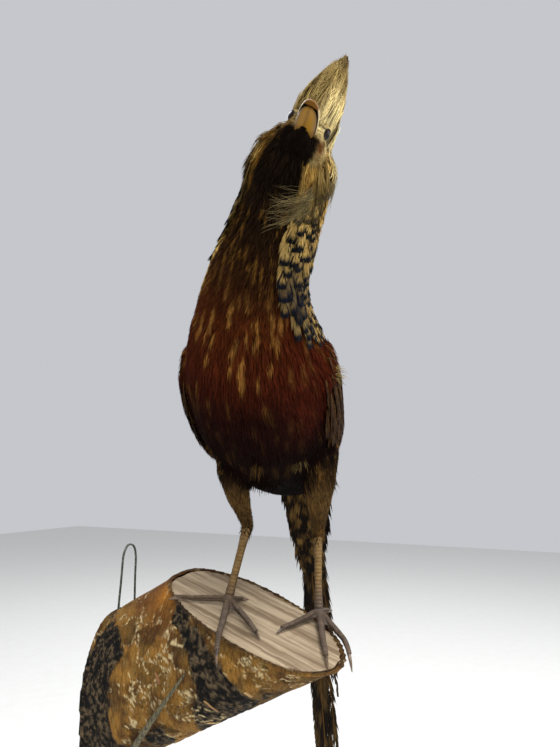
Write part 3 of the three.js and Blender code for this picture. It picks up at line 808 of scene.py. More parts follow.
@dataclass
class Skin:
    """One closed skin over all the flesh, drawn in by the coat's depth."""

    swell: float = 1.1
    voxel: float = 1.9
    settle: int = 3
    label_reach: float = 12.0
    depths: dict[Region, float] = field(default_factory=lambda: {
        Region.TRUNK: 3.6,
        Region.NECK: 3.2,
        Region.HEAD: 1.1,
        Region.CREST: 3.0,
        Region.CAPE: 3.5,
        Region.WING: 3.0,
        Region.THIGH: 2.4,
        Region.SHANK: 0.25,
        Region.FOOT: 0.2,
    })

    def copies(self) -> list[bpy.types.Object]:
        """Merged and slightly swollen copies of the flesh solids."""
        made = []
        for name in " ".join(r.value for r in REGIONS).split():
            copy = bpy.data.objects.new(f"flesh_{name}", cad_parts[name].data.copy())
            bpy.context.scene.collection.objects.link(copy)
            made.append(copy)
        for copy in made:
            selected(copy)
            weld()
            apply(copy, "DISPLACE", strength=self.swell * MM, mid_level=0.0)
        return made

    def build(self) -> bpy.types.Object:
        """Joins, remeshes and settles the copies, and draws each place in by its depth."""
        skin = joined(self.copies(), "skin")
        apply(skin, "REMESH", mode="VOXEL", voxel_size=self.voxel * MM, use_smooth_shade=True)
        apply(skin, "SMOOTH", factor=0.5, iterations=self.settle)
        mesh = skin.data
        while mesh.color_attributes:
            mesh.color_attributes.remove(mesh.color_attributes[0])
        points, out = to_bird(places(mesh)), normals(mesh) @ BIRD_TURN
        region = self.label(points)
        depth = np.array([self.depths[r] for r in REGIONS])[region] + self.swell
        edges = np.zeros(len(mesh.edges) * 2, np.int64)
        mesh.edges.foreach_get("vertices", edges)
        depth = self.soften(depth, edges.reshape(-1, 2), 8)
        points = points - out * depth[:, None]
        set_places(mesh, to_row(points))
        self.points, self.region = points, region
        polygons = [tuple(p.vertices) for p in mesh.polygons]
        self.faces = np.array([p[:3] for p in polygons])
        self.fourth = np.array([p[3] if len(p) > 3 else p[2] for p in polygons])
        self.face_region = region[self.faces[:, 0]]
        self.tree = BVHTree.FromPolygons([tuple(p) for p in points], polygons)
        # The skin takes the coat's colours, darkened as painted shade under the coat.
        paint(mesh, MARKINGS.at(points, region) * 0.8)
        mesh.materials.clear()
        mesh.materials.append(TintedFinish("skin", 0.75, grain=1.0).material())
        return skin

    @staticmethod
    def soften(values: Array, edges: Array, rounds: int) -> Array:
        """Values evened out with those of their neighbours."""
        weight = np.bincount(edges.ravel(), minlength=len(values)) + 1.0
        for _ in range(rounds):
            total = values.copy()
            np.add.at(total, edges[:, 0], values[edges[:, 1]])
            np.add.at(total, edges[:, 1], values[edges[:, 0]])
            values = total / weight
        return values

    def label(self, points: Array) -> Array:
        """The region of each point: that of the nearest solid."""
        best = np.full(len(points), np.inf)
        region = np.zeros(len(points), int)
        for index, name in enumerate(REGIONS):
            for node in name.value.split():
                tree = solid_tree(node, to_bird)
                gap = np.array([tree.find_nearest(Vector(p), self.label_reach)[3] or 1e9 for p in points])
                nearer = gap < best
                best[nearer], region[nearer] = gap[nearer], index
        return region

    def sample(self, rng: np.random.Generator, region: Region, density: float,
               keep: Callable[[Array], Array] | None = None) -> Array:
        """Places spread over one region of the skin.

        Args:
            rng: source of random numbers.
            region: where.
            density: how many to the square millimetre.
            keep: a test of bird-frame points.

        Returns:
            Points in the bird's frame.
        """
        held = self.face_region == REGIONS.index(region)
        a, b, c = (self.points[self.faces[held][:, k]] for k in range(3))
        d = self.points[self.fourth[held]]
        area = 0.5 * np.linalg.norm(np.cross(b - a, c - a), axis=1)
        area += 0.5 * np.linalg.norm(np.cross(c - a, d - a), axis=1)
        count = rng.poisson(area * density)
        index = np.repeat(np.arange(len(area)), count)
        u, v = rng.random(len(index)), rng.random(len(index))
        points = (
            a[index] * ((1 - u) * (1 - v))[:, None]
            + b[index] * (u * (1 - v))[:, None]
            + c[index] * (u * v)[:, None]
            + d[index] * ((1 - u) * v)[:, None]
        )
        return points[keep(points)] if keep is not None else points


# ------------------------------------------------------------------ the coat


def off_the_eyes(points: Array) -> Array:
    """Keeps the openings of the eyes clear of roots."""
    q = bird_to_head(points) - EYE_AT * np.array([1, 0, 1])
    return np.hypot(q[:, 0], q[:, 2]) > EYE_RADIUS - 0.2


class Lie:
    """Which way the coat lies at a place."""

    def at(self, points: Array, region: Region) -> Array:
        """Unit directions from root to tip.

        Args:
            points: bird-frame millimetres.
            region: the part of the bird that they are on.

        Returns:
            One direction for each point.
        """
        if region is Region.HEAD:
            q = bird_to_head(points)
            way = unit(q - np.array([9.0, 0, 1.0])) + np.array([-0.8, 0, 0.1])
            upper = smooth(q[:, 2], 2, 9) * smooth(q[:, 0], -16, -6)
            way[:, 2] += 1.6 * upper
            return unit(way) @ HEAD_TURN.T
        if region is Region.CREST:
            q = bird_to_head(points)
            rise = unit(CREST_TIP + np.array([0, 0, 5.0]) - q)
            fall = unit(np.array([-0.25, 0.1, -1.0]))
            rear = smooth(-q[:, 0] - 0.25 * q[:, 2], 20, 32)
            way = blend(rise, np.tile(fall, (len(q), 1)), rear)
            return unit(way) @ HEAD_TURN.T
        if region is Region.THIGH:
            left = (points[:, 1] > LEG_PARTING)[:, None]
            return unit(np.where(left, np.array([-44.0, -5, -80]), np.array([-39.0, -4.5, -76])))
        _, _, along = BODY.read(points)
        sag = np.where(points[:, 2] < 150, 0.35, 0.12)
        return unit(-along - np.outer(sag, [0, 0, 1.0]))


LIE = Lie()


@dataclass(frozen=True)
class Pelt:
    """How the wisps of one region grow."""

    region: Region
    density: float
    length: float
    vary: float
    half_width: float
    lift: float
    lift_vary: float
    rings: int = 4
    swing: float = 11.0
    keep: Callable[[Array], Array] | None = None
    name: str = ""


class Coat:
    """All the small feathers, as thin overlapping wisps walked over the skin."""

    def __init__(self, skin: Skin, seed: int = 7) -> None:
        """Keeps the skin and a seeded source of random numbers."""
        self.skin = skin
        self.rng = np.random.default_rng(seed)

    def walk(self, roots: Array, region: Region, lengths: Array, lifts: Array, rings: int,
             swing: float) -> tuple[Array, Array]:
        """Leads wisps over the skin.

        Args:
            roots: bird-frame places on the skin.
            region: where they grow.
            lengths: how long each is.
            lifts: how far each tip stands off the skin.
            rings: points on each.
            swing: typical turn away from the lie, in degrees.

        Returns:
            The points (N, K, 3) and the outward directions there.
        """
        count = len(roots)
        turn = self.rng.normal(0, swing, count) + 16 * (clouds(roots, 24, 21) - 0.5)
        turn += 2.2 * swing * (clouds(roots, 5, 22) - 0.5)
        bend = self.rng.normal(0, swing * 0.8, count)
        here, points, ups = roots.copy(), [], []
        find = self.skin.tree.find_nearest
        for ring in range(rings):
            found = [find(Vector(p)) for p in here]
            on = np.array([tuple(f[0]) for f in found])
            out = np.array([tuple(f[1]) for f in found])
            share = ring / (rings - 1)
            height = -0.5 + (lifts + 0.5) * share**0.85
            points.append(on + out * height[:, None])
            ups.append(out)
            way = LIE.at(on, region)
            way = unit(way - out * (way * out).sum(1)[:, None])
            side = np.cross(out, way)
            angle = np.radians(turn + bend * share)[:, None]
            here = on + (way * np.cos(angle) + side * np.sin(angle)) * (lengths / (rings - 1))[:, None]
        return np.stack(points, 1), np.stack(ups, 1)

    def grow(self, pelt: Pelt) -> Wisps:
        """The wisps of one region."""
        roots = self.skin.sample(self.rng, pelt.region, pelt.density, pelt.keep)
        count = len(roots)
        lengths = pelt.length * np.clip(1 + pelt.vary * self.rng.normal(0, 1, count), 0.5, 1.7)
        uneven = 0.45 * self.rng.random(count) ** 1.5 + 0.9 * (clouds(roots, 6, 23) - 0.35)
        lifts = pelt.lift + pelt.lift_vary * uneven
        points, ups = self.walk(roots, pelt.region, lengths, lifts, pelt.rings, pelt.swing)
        shape = np.array([0.55, 1.0, 0.95, 0.6, 0.0]) if pelt.rings == 5 else np.array([0.6, 1.0, 0.8, 0.0])
        widths = pelt.half_width * self.rng.uniform(0.7, 1.3, count)[:, None] * shape
        label = np.full(count * pelt.rings, REGIONS.index(pelt.region))
        tints = MARKINGS.at(points.reshape(-1, 3), label).reshape(count, pelt.rings, 3)
        # Each wisp gets a random tone and is darkened towards its root: painted shade under the wisps that
        # lie over it.
        light = self.rng.uniform(0.5, 1.5, count)[:, None] * np.linspace(0.62, 1.18, pelt.rings)
        wisps = Wisps()
        wisps.add(points, ups, widths, tints * light[..., None], unwrap(roots, label[:count]))
        return wisps


@dataclass(frozen=True)
class Tuft:
    """A loose bunch of wisps from one place."""

    at: tuple[float, float, float]
    way: tuple[float, float, float]
    count: int
    length: float
    spread: float
    patch: float
    half_width: float
    colours: tuple[str, str]
    curl: tuple[float, float, float] = (0, 0, 0)


class Tufts:
    """Bunches that stand out of the coat, the cover of chin and lids, and the throat's pale threads."""

    bunches = (
        Tuft((76, 67, 198), (-0.5, 0.8, 0.0), 44, 13, 0.3, 4.5, 0.36,
             ("4f4128", "9a8552"), (-0.3, 0, -0.6)),
        Tuft((84, 63, 212), (-0.6, 0.7, -0.2), 26, 10, 0.3, 3.5, 0.34,
             ("2c2014", "6b5836"), (-0.2, 0, -0.5)),
        Tuft((36, 2, 118), (-0.1, 0.05, -1.0), 190, 11, 0.2, 13, 0.36, ("080504", "1c100a")),
        Tuft((30, -14, 116), (-0.1, -0.1, -1.0), 110, 9, 0.2, 8, 0.36, ("080504", "1c100a")),
        Tuft((48, -38, 128), (0.1, -0.2, -1.0), 80, 9, 0.16, 6, 0.32, ("3c2a14", "7d6034"), (0, 0.2, 0)),
        Tuft((56, -43, 142), (0.1, -0.2, -1.0), 70, 9, 0.14, 7, 0.32, ("24150a", "5a3f20"), (0, 0.2, 0)),
        Tuft((45, 36, 134), (0.3, -0.3, -0.6), 34, 11, 0.35, 3.5, 0.3, ("33240f", "8a7448"), (0, 0, -0.4)),
        Tuft((64, 4, 126), (0.15, -0.1, -1.0), 40, 12, 0.3, 5, 0.34, ("1c0f08", "6b5028"), (0, 0, -0.2)),
        Tuft((10, 54, 120), (-0.1, 0.2, -1.0), 70, 14, 0.2, 7, 0.4, ("120b07", "4f3a1c"), (0, -0.2, 0)),
    )
    head_bunches = (
        Tuft((-4, -10, 11), (-0.5, -0.25, 1.0), 130, 8, 0.14, 3.4, 0.22,
             ("7a6232", "b09858"), (-0.2, 0.3, 0.2)),
        Tuft((-9, -12.5, 9), (-0.7, -0.2, 0.7), 170, 8, 0.14, 5, 0.24,
             ("5a4626", "9a804a"), (-0.2, 0.3, 0.2)),
        Tuft((-4.6, -10.2, 7.4), (-1.0, -0.12, -0.05), 150, 6, 0.12, 3.4, 0.2, ("6f5c34", "a89058")),
        Tuft((-13, -13, 3), (-0.9, -0.15, 0.2), 130, 8, 0.14, 5, 0.24,
             ("4a3a20", "8a7040"), (-0.2, 0.2, 0)),
        Tuft((-7, 9.5, 15), (-0.45, 0.02, 1.0), 200, 13, 0.09, 6, 0.24,
             ("a48c52", "dccb98"), (-0.2, -0.3, 0.2)),
        Tuft((-1, 5.5, 8.5), (-0.4, 0.1, 1.0), 160, 13, 0.1, 4.5, 0.24,
             ("a08850", "dccb98"), (-0.4, -0.15, 0.2)),
        Tuft((-8, 1, 50), (-0.06, 0.02, 1.0), 60, 7, 0.07, 2.4, 0.24, ("2c2012", "6b5430"), (0, -0.05, 0)),
        Tuft((-12, -8, 28), (0.08, 0.05, 1.0), 80, 15, 0.06, 4, 0.24, ("5a4626", "947a48"), (0, 0.2, 0)),
    )

    def __init__(self, skin: Skin, seed: int = 91) -> None:
        """Keeps the skin that they root in."""
        self.skin = skin
        self.rng = np.random.default_rng(seed)
        self.wisps = Wisps(thickness=0.15)
        self.fine = Wisps(thickness=0.1)
        self.short = Wisps(thickness=0.1)

    def bunch(self, tuft: Tuft, at: Array, turn: Array) -> None:
        """Adds one bunch, its directions turned by a matrix."""
        n, k = tuft.count, 5
        roots = at + self.rng.normal(0, 0.5 * tuft.patch, (n, 3)) @ turn.T
        found = [self.skin.tree.find_nearest(Vector(p)) for p in roots]
        roots = np.array([np.array(spot) - 0.4 * np.array(out) for spot, out, _, _ in found])
        way = unit(np.array(tuft.way)) + self.rng.normal(0, tuft.spread, (n, 3))
        steps = np.linspace(0, 1, k)
        length = tuft.length * self.rng.uniform(0.6, 1.25, n)
        line = unit(way)[:, None] * steps[:, None] + np.array(tuft.curl) * (steps**2)[:, None] * 0.5
        points = roots[:, None] + (line @ turn.T) * length[:, None, None]
        ups = np.repeat(unit(self.rng.normal(0, 1, (n, 3)))[:, None], k, 1)
        widths = tuft.half_width * np.array([0.5, 1, 0.85, 0.55, 0]) * np.ones((n, 1))
        shade = blend(linear(tuft.colours[0]), linear(tuft.colours[1]), self.rng.random(n))
        # Darker towards the root: painted shade among the bunch's wisps.
        tints = shade[:, None] * np.linspace(0.7, 1.15, k)[:, None]
        label = np.zeros(n, int)
        self.wisps.add(points, ups, widths, tints, unwrap(roots, label))

    def lids(self, count: int = 360, length: float = 2.4) -> None:
        """The smallest feathers, over the lids and round the openings."""
        for eye in (Eye(1), Eye(-1)):
            around = self.rng.uniform(-math.pi, math.pi, count)
            edge = eye.opening(around)
            polar = edge + 7 + (92 - edge) * self.rng.random(count) ** 0.8
            roots = eye.turned(around, polar, np.full(count, eye.radius + 0.3))
            away = unit(eye.turned(around, polar + 2, np.full(count, eye.radius + 0.3)) - roots)
            middle = eye.centre()
            here, points, ups = roots, [], []
            for ring in range(4):
                out = unit(here - middle)
                points.append(middle + out * (eye.radius + 0.25 + 0.22 * ring))
                ups.append(out)
                way = 0.6 * LIE.at(here, Region.HEAD) + 1.6 * away
                here = here + unit(way - out * (way * out).sum(1)[:, None]) * length / 3
            points, ups = np.stack(points, 1), np.stack(ups, 1)
            widths = 0.2 * np.array([0.6, 1.0, 0.8, 0.0]) * np.ones((count, 1))
            label = np.full(count, REGIONS.index(Region.HEAD))
            shade = np.linspace(0.65, 1.15, 4)[:, None]
            tints = MARKINGS.head(points.reshape(-1, 3)).reshape(count, 4, 3) * shade
            self.short.add(points, ups, widths, tints, unwrap(roots, label))

    def threads(self) -> None:
        """Pale loose threads drawn across the throat from its left edge."""
        n, k = 120, 7
        steps = np.linspace(0, 1, k)
        start = np.clip(self.rng.normal(0.85, 0.016, n), 0.822, 0.875)
        reach = self.rng.uniform(22, 64, n)
        fall = self.rng.uniform(0.0, 0.10, n)
        arch = self.rng.normal(0.012, 0.012, n)
        points = []
        for i in range(n):
            share = start[i] - fall[i] * steps**1.4 - arch[i] * np.sin(math.pi * steps)
            angle = -36 - self.rng.uniform(0, 8) - reach[i] * steps**0.9
            rise = -2.5 + (4.9 + self.rng.uniform(0, 2.0)) * np.minimum(1, steps * 4)
            rise = rise + 3.0 * np.sin(math.pi * steps * 0.8)
            points.append(BODY.surface(share, angle, rise)[0])
        points = np.array(points)
        ups = np.repeat(unit(self.rng.normal(0, 1, (n, 3)))[:, None], k, 1)
        widths = 0.13 * np.array([0.8, 1, 1, 0.9, 0.8, 0.6, 0]) * np.ones((n, 1))
        shade = blend(linear("4a3e28"), linear("98875c"), self.rng.random(n))
        tints = shade[:, None] * np.linspace(1.0, 0.85, k)[:, None]
        self.fine.add(points, ups, widths, tints, unwrap(points[:, 0], np.ones(n, int)))

    def chin(self) -> None:
        """Short black feathers over the base of the lower half of the bill."""
        tree = solid_tree("bill_lower", lambda points: bird_to_head(to_bird(points)))
        n, k = 520, 5
        y = self.rng.uniform(-7.5, 7.5, n)
        x = -2 + (11.0 - 0.16 * (y - 0.5) ** 2) * self.rng.random(n) ** 0.7
        roots = np.array([tuple(tree.find_nearest(Vector((a, b, -12.0)))[0]) for a, b in zip(x, y)])
        steps = np.linspace(0, 1, k)
        length = self.rng.uniform(6, 10, n)
        aside = 0.03 * y[:, None] * [0, 1, 0]
        way = unit(np.array([-1.0, 0, -0.12]) + self.rng.normal(0, 0.13, (n, 3)) + aside)
        line = way[:, None] * steps[:, None] * length[:, None, None]
        rise = np.stack([0 * steps, 0 * steps, -(0.3 + 1.9 * steps**0.8)], -1)
        points = (roots[:, None] + line + rise) @ HEAD_TURN.T + HEAD_AT
        up = np.tile(HEAD_TURN @ np.array([0, 0, -1.0]), (n, k, 1))
        widths = 0.34 * np.array([0.6, 1, 0.9, 0.6, 0]) * np.ones((n, 1))
        tints = Tone.THROAT.rgb * self.rng.uniform(0.5, 1.4, n)[:, None, None] * np.ones((n, k, 1))
        label = np.full(n, REGIONS.index(Region.HEAD))
        self.wisps.add(points, up, widths, tints, unwrap(points[:, 0], label))

    def build(self) -> bpy.types.Object:
        """All of them as one piece."""
        for tuft in self.bunches:
            self.bunch(tuft, np.array(tuft.at), np.eye(3))
        for tuft in self.head_bunches:
            self.bunch(tuft, head_to_bird(np.array(tuft.at)), HEAD_TURN)
        self.threads()
        self.chin()
        self.lids()
        finish = TintedFinish("tuft", 0.7, gloss=0.03).material()
        made = [new_object("tufts", w.mesh("tufts"), finish) for w in (self.wisps, self.fine, self.short)]
        return joined(made, "tufts")


# ------------------------------------------------------------------ barbed feathers


@dataclass(frozen=True)
class Quill:
    """One kind of barbed feather."""

    length: float
    half_width: float
    spacing: float = 1.0
    slant: float = 34.0
    square: float = 0.35
    fray: float = 0.12
    barb_half: float = 0.62
    rise: float = 3.0
    droop: float = 0.0
    gaps: float = 0.0


class FeatherMaker:
    """Makes feathers out of a shaft and two rows of barbs."""

    def __init__(self, seed: int) -> None:
        """Starts empty sets of shafts and barbs."""
        self.rng = np.random.default_rng(seed)
        self.barbs = Wisps(thickness=0.16)
        self.shafts = Wisps(thickness=0.3)

    def add(self, line: Array, up: Array, quill: Quill, tint: Callable[[Array, Array, Array], Array],
            root_uv: Array) -> None:
        """Adds one feather.

        Args:
            line: (M, 3) points of the shaft from root to tip, bird-frame millimetres.
            up: (M, 3) directions out of its upper face.
            quill: its kind.
            tint: colours from share along, share across (-1 to 1) and points.
            root_uv: its place on the unwrap.
        """
        reach = np.linalg.norm(np.diff(line, axis=0), axis=1)
        total = reach.sum()
        at = np.concatenate([[0], np.cumsum(reach)]) / total
        number = max(4, int(total / quill.spacing))
        shares = np.linspace(0.02, 0.985, number)
        for side in (-1, 1):
            s = np.clip(shares + self.rng.normal(0, 0.15 / number, number), 0, 0.99)
            split = scatter(np.floor(np.stack([s * total / 9 + 50 * side, s * 0 + total], -1)), 5)
            s = s[split >= quill.gaps * smooth(s, 0.25, 0.6)]
            root = np.stack([np.interp(s, at, line[:, k]) for k in range(3)], -1)
            out = unit(np.stack([np.interp(s, at, up[:, k]) for k in range(3)], -1))
            ahead = unit(np.stack([np.interp(s, at, np.gradient(line[:, k], at)) for k in range(3)], -1))
            across = np.cross(ahead, out) * side
            kept = len(s)
            slant = np.radians(quill.slant * (1 - 0.45 * s) + self.rng.normal(0, 3, kept))
            outline = quill.half_width * np.minimum(1, 0.25 + 5 * s) * (1 - (1 - quill.square) * s**3)
            reach_out = outline / np.sin(np.maximum(slant, 0.3)) * self.rng.normal(1, quill.fray, kept)
            room = total * (1.0 - s) + 0.25 * quill.half_width * (1 + quill.square)
            reach_out = np.clip(reach_out, 1.0, np.maximum(1.2, room / np.cos(slant)))
            k = 4
            steps = np.linspace(0, 1, k)
            way = ahead * np.cos(slant)[:, None] + across * np.sin(slant)[:, None]
            curl = ahead - way
            curve = (reach_out[:, None] * steps)[..., None] * way[:, None]
            curve = curve + (0.22 * reach_out[:, None] * steps**2)[..., None] * curl[:, None]
            lift = 0.25 - quill.droop * steps**2
            wave = self.rng.normal(0, 0.25, kept)[:, None] * steps
            points = root[:, None] + curve + out[:, None] * (lift + wave)[..., None]
            widths = quill.barb_half * np.array([0.8, 1.0, 0.9, 0.0]) * np.ones((kept, 1))
            along_share = np.clip(s[:, None] + (curve * ahead[:, None]).sum(-1) / total, 0, 1)
            across_share = side * np.abs((curve * across[:, None]).sum(-1)) / quill.half_width
            colour = tint(along_share.ravel(), across_share.ravel(), points.reshape(-1, 3))
            colour = colour.reshape(kept, k, 3) * self.rng.uniform(0.85, 1.15, kept)[:, None, None]
            seeds = root_uv + 0.004 * np.stack([np.full(kept, side * 0.5), s], -1)
            self.barbs.add(points, np.repeat(out[:, None], k, 1), widths, colour, seeds)
        picks = np.linspace(0, len(line) - 1, 6).round().astype(int)
        spine = line[picks] + up[picks] * 0.35
        shade = tint(at[picks], np.zeros(6), spine) * 0.6 + Tone.STREAK.rgb * 0.22
        width = np.array([[0.75, 0.7, 0.6, 0.5, 0.35, 0.0]]) * min(1.0, total / 60)
        self.shafts.add(spine[None], up[picks][None], width, shade[None], root_uv[None])

    def mesh(self, name: str) -> list[bpy.types.Mesh]:
        """The barbs' mesh and the shafts' mesh."""
        return [self.barbs.mesh(name), self.shafts.mesh(name + "_shafts")]


def joined(pieces: Sequence[bpy.types.Object], name: str) -> bpy.types.Object:
    """Several objects as one."""
    bpy.ops.object.select_all(action="DESELECT")
    for piece in pieces:
        piece.select_set(True)
    bpy.context.view_layer.objects.active = pieces[0]
    bpy.ops.object.join()
    pieces[0].name = name
    return pieces[0]


def feather_object(name: str, maker: FeatherMaker, finish: bpy.types.Material) -> bpy.types.Object:
    """The joined object of all feathers of one maker."""
    made = [new_object(f"{name}_{i}", mesh, finish) for i, mesh in enumerate(maker.mesh(name))]
    return joined(made, name)


@dataclass
class Cape:
    """Square-ended gold feathers with black borders over the neck, in rows."""

    share_from: float = 0.93
    share_to: float = 0.49
    half_span: float = 108.0
    rows: int = 21
    quill: Quill = Quill(25, 5.6, spacing=1.6, square=0.8, slant=30, barb_half=0.88)
    edge_shares: tuple[float, ...] = (0.49, 0.57, 0.62, 0.70, 0.78, 0.86, 0.93)
    front_edge: tuple[float, ...] = (20, -28, -46, -60, -60, -48, -34)
    far_edge: tuple[float, ...] = (120, 126, 138, 160, 200, 204, 190)

    def tint(self, along: Array, across: Array, points: Array) -> Array:
        """Gold with a black border at the tip and a dark bar behind it."""
        gold = blend(Tone.GOLD.rgb, Tone.STRAW.rgb, clouds(points, 12, 31))
        edge = smooth(along + 0.06 * np.abs(across), 0.89, 0.93)
        colour = blend(gold, Tone.INK.rgb, edge)
        second = smooth(0.032 - np.abs(along + 0.05 * np.abs(across) - 0.78), 0.0, 0.02)
        return blend(colour, Tone.INK.rgb, 0.9 * second)

    def mantle(self, along: Array, across: Array, points: Array) -> Array:
        """Dark green feathers with black borders under the cape's lower edge."""
        colour = blend(Tone.MANTLE.rgb * 1.6, Tone.INK.rgb * 0.6, smooth(along, 0.8, 0.9))
        return blend(colour, Tone.TERTIAL.rgb * 1.5, 0.4 * clouds(points, 9, 33))

    def lay(self, maker: FeatherMaker, share: float, angle: float, quill: Quill, tint: Callable,
            rise: tuple[float, float], rng: np.random.Generator) -> None:
        """Lays one feather down the body from its root."""
        steps = 7
        reach = quill.length * rng.uniform(0.85, 1.15)
        drop = np.linspace(0, 1, steps)
        shares = np.clip(share - drop * reach / BODY_LENGTH, 0.0, 1)
        angles = angle + np.cumsum(np.full(steps, rng.normal(0, 2.5) / steps))
        rises = rise[0] + (rise[1] - rise[0]) * drop + rng.uniform(0, 0.8)
        line, out, _ = BODY.surface(shares, angles, rises)
        place = root_place(angle, share)
        maker.add(line, out, quill, tint, place)

    def build(self) -> bpy.types.Object:
        """Lays the rows, the lowest first."""
        rng = np.random.default_rng(11)
        maker = FeatherMaker(12)
        for row in range(self.rows):
            long = 1 - row / (self.rows - 1)
            share = self.share_from + (self.share_to + 0.05 - self.share_from) * long
            low = float(np.interp(share, self.edge_shares, self.front_edge))
            high = float(np.interp(share, self.edge_shares, self.far_edge))
            radius = float(np.interp(share, BODY.share, BODY.wide))
            number = max(5, int(math.radians(high - low) * radius / 6.6))
            for i in range(number):
                angle = low + (high - low) * (i + 0.5 * (row % 2)) / (number - 0.5)
                half = self.half_span * (1 - 0.38 * long**2)
                inner = math.sin(math.pi * np.clip((angle - 90 + half) / (2 * half), 0, 1)) ** 0.5
                aside = float(smooth(angle, 10, 60) * smooth(-angle, -170, -130))
                top = 1.2 + (0.6 + 5.6 * aside) * inner * math.sin(math.pi * min(1, 0.12 + 0.8 * long)) ** 0.6
                # Painted shade: the cape's lower front and its right side are darkened towards blue-black.
                shade_share = float(smooth(-angle, 0, 38) * smooth(-share, -0.82, -0.70))
                shade_share = max(shade_share, 0.75 * float(smooth(angle, 165, 195)))
                nape = float(smooth(share, 0.84, 0.9))
                tint = self.shaded(0.9 * shade_share * rng.uniform(0.6, 1.1), 0.8 * nape)
                self.lay(maker, share, angle + rng.normal(0, 1.6), self.quill, tint,
                         (max(-0.8, top - 4.2), top + rng.uniform(-0.3, 0.8)), rng)
        finish = TintedFinish("cape_feather", 0.5, grain=0.3, gloss=0.06).material()
        return feather_object("cape_feathers", maker, finish)

    def shaded(self, shade_share: float, nape: float) -> Callable[[Array, Array, Array], Array]:
        """The cape's colours, brought towards blue-black painted shade by one share and olive by another."""

        def colours(along: Array, across: Array, points: Array) -> Array:
            """Colours at places on one feather."""
            # The blue-black of the painted shade, flecked with blue.
            blue = blend(Tone.INK.rgb, Tone.TERTIAL.rgb * 0.35, clouds(points, 6, 34))
            colour = blend(self.tint(along, across, points), Tone.OLIVE.rgb * 0.7, np.full(len(along), nape))
            return blend(colour, blue, np.full(len(along), min(1.0, shade_share)))

        return colours

    def build_mantle(self) -> bpy.types.Object:
        """The dark mantle and the golden rump behind the cape."""
        rng = np.random.default_rng(13)
        maker = FeatherMaker(14)
        quill = Quill(24, 7, spacing=1.9, square=0.6, slant=34, barb_half=1.08)
        rump = Quill(30, 6, spacing=1.9, square=0.3, slant=26, fray=0.25, barb_half=1.0)
        for row in range(17):
            share = 0.06 + 0.031 * row
            radius = float(np.interp(share, BODY.share, BODY.wide))
            golden = share < 0.36
            half = 50 if not golden else 62
            number = max(5, int(math.radians(2 * half) * radius / 8.5))
            for i in range(number):
                angle = 90 - half + 2 * half * (i + 0.5 * (row % 2)) / (number - 0.5)
                tint = self.rump_tint if golden else self.mantle
                self.lay(maker, share, angle + rng.normal(0, 1.5), rump if golden else quill, tint,
                         (-1.6, 1.6), rng)
        finish = TintedFinish("mantle_feather", 0.42, grain=0.3, gloss=0.3).material()
        return feather_object("mantle_feathers", maker, finish)

    def rump_tint(self, along: Array, across: Array, points: Array) -> Array:
        """Golden yellow, a little browner at the roots."""
        return blend(Tone.RUMP.rgb * 0.55, Tone.RUMP.rgb, smooth(along, 0.1, 0.7))


@dataclass
class Wings:
    """Coverts and flight feathers of the two folded wings."""

    share_from: float = 0.45
    share_to: float = 0.03
    half_span: float = 37.0
    thickness: float = 5.0
    lift: float = 1.9

    def covert_tint(self, along: Array, across: Array, points: Array) -> Array:
        """Chestnut brown with a paler edge."""
        colour = blend(Tone.WING.rgb, Tone.WING_BAR.rgb, smooth(np.abs(across), 0.6, 0.95) * 0.6)
        return blend(colour, Tone.BELLY.rgb, smooth(clouds(points, 6, 35), 0.55, 0.7) * 0.6)

    def flight_tint(self, along: Array, across: Array, points: Array) -> Array:
        """Dark brown with ochre bars across the vane."""
        bars = smooth(0.5 + 0.5 * np.sin(along * 44 + across * 1.5), 0.5, 0.75)
        return blend(Tone.TAIL.rgb * 1.3, Tone.WING_BAR.rgb, bars * (np.abs(across) > 0.15))

    def tertial_tint(self, along: Array, across: Array, points: Array) -> Array:
        """Deep blue."""
        return blend(Tone.TERTIAL.rgb, Tone.INK.rgb, smooth(np.abs(across), 0.7, 1.0))

    def build(self, side: int) -> bpy.types.Object:
        """One wing, +1 for the left."""
        rng = np.random.default_rng(20 + side)
        maker = FeatherMaker(25 + side)
        rows = 12
        for row in range(rows):
            long = 0.80 * (1 - row / (rows - 1)) + 0.02
            half = self.half_span * (0.12 + 0.88 * max(math.sin(math.pi * long**0.6), 0.0) ** 0.6)
            middle = 6 + 18 * long
            share = self.share_from + (self.share_to - self.share_from) * long
            radius = float(np.interp(share, BODY.share, BODY.wide))
            flight = row < 4
            quill = Quill(24, 6.5, spacing=1.4, square=0.6, barb_half=0.85)
            if flight:
                quill = Quill(78 if row < 2 else 62, 7.5, spacing=1.2, square=0.5, slant=30)
            number = max(3, int(math.radians(2 * half) * radius / (9.5 if flight else 7.5)))
            for i in range(number):
                across = (i + 0.5 * (row % 2)) / max(1, number - 0.5)
                angle = middle - half + 2 * half * across
                if side < 0:
                    angle = 180 - angle
                arch = math.sin(math.pi * (0.06 + 0.88 * long))
                body = math.sqrt(max(0.0, math.sin(math.pi * across)) * arch)
                top = self.lift + 0.6 + self.thickness * body
                steps = 8
                reach = min(quill.length, share * BODY_LENGTH + 6) * rng.uniform(0.9, 1.08)
                drop = np.linspace(0, 1, steps)
                shares = np.clip(share - drop * reach / BODY_LENGTH, 0, 1)
                line, out, _ = BODY.surface(shares, np.full(steps, angle) + 5 * side * drop * flight,
                                            top - 1.5 + 1.5 * drop)
                tint = self.covert_tint
                if flight:
                    tint = self.tertial_tint if across > 0.72 else self.flight_tint
                place = root_place(angle, share)
                maker.add(line, out, quill, tint, place)
        name = "wing_feathers_left" if side > 0 else "wing_feathers_right"
        return feather_object(name, maker, TintedFinish(name, 0.55, grain=0.3, gloss=0.06).material())


@dataclass(frozen=True)
class TailFeather:
    """One long tail feather."""

    length: float
    half: float
    splay: float
    layer: int


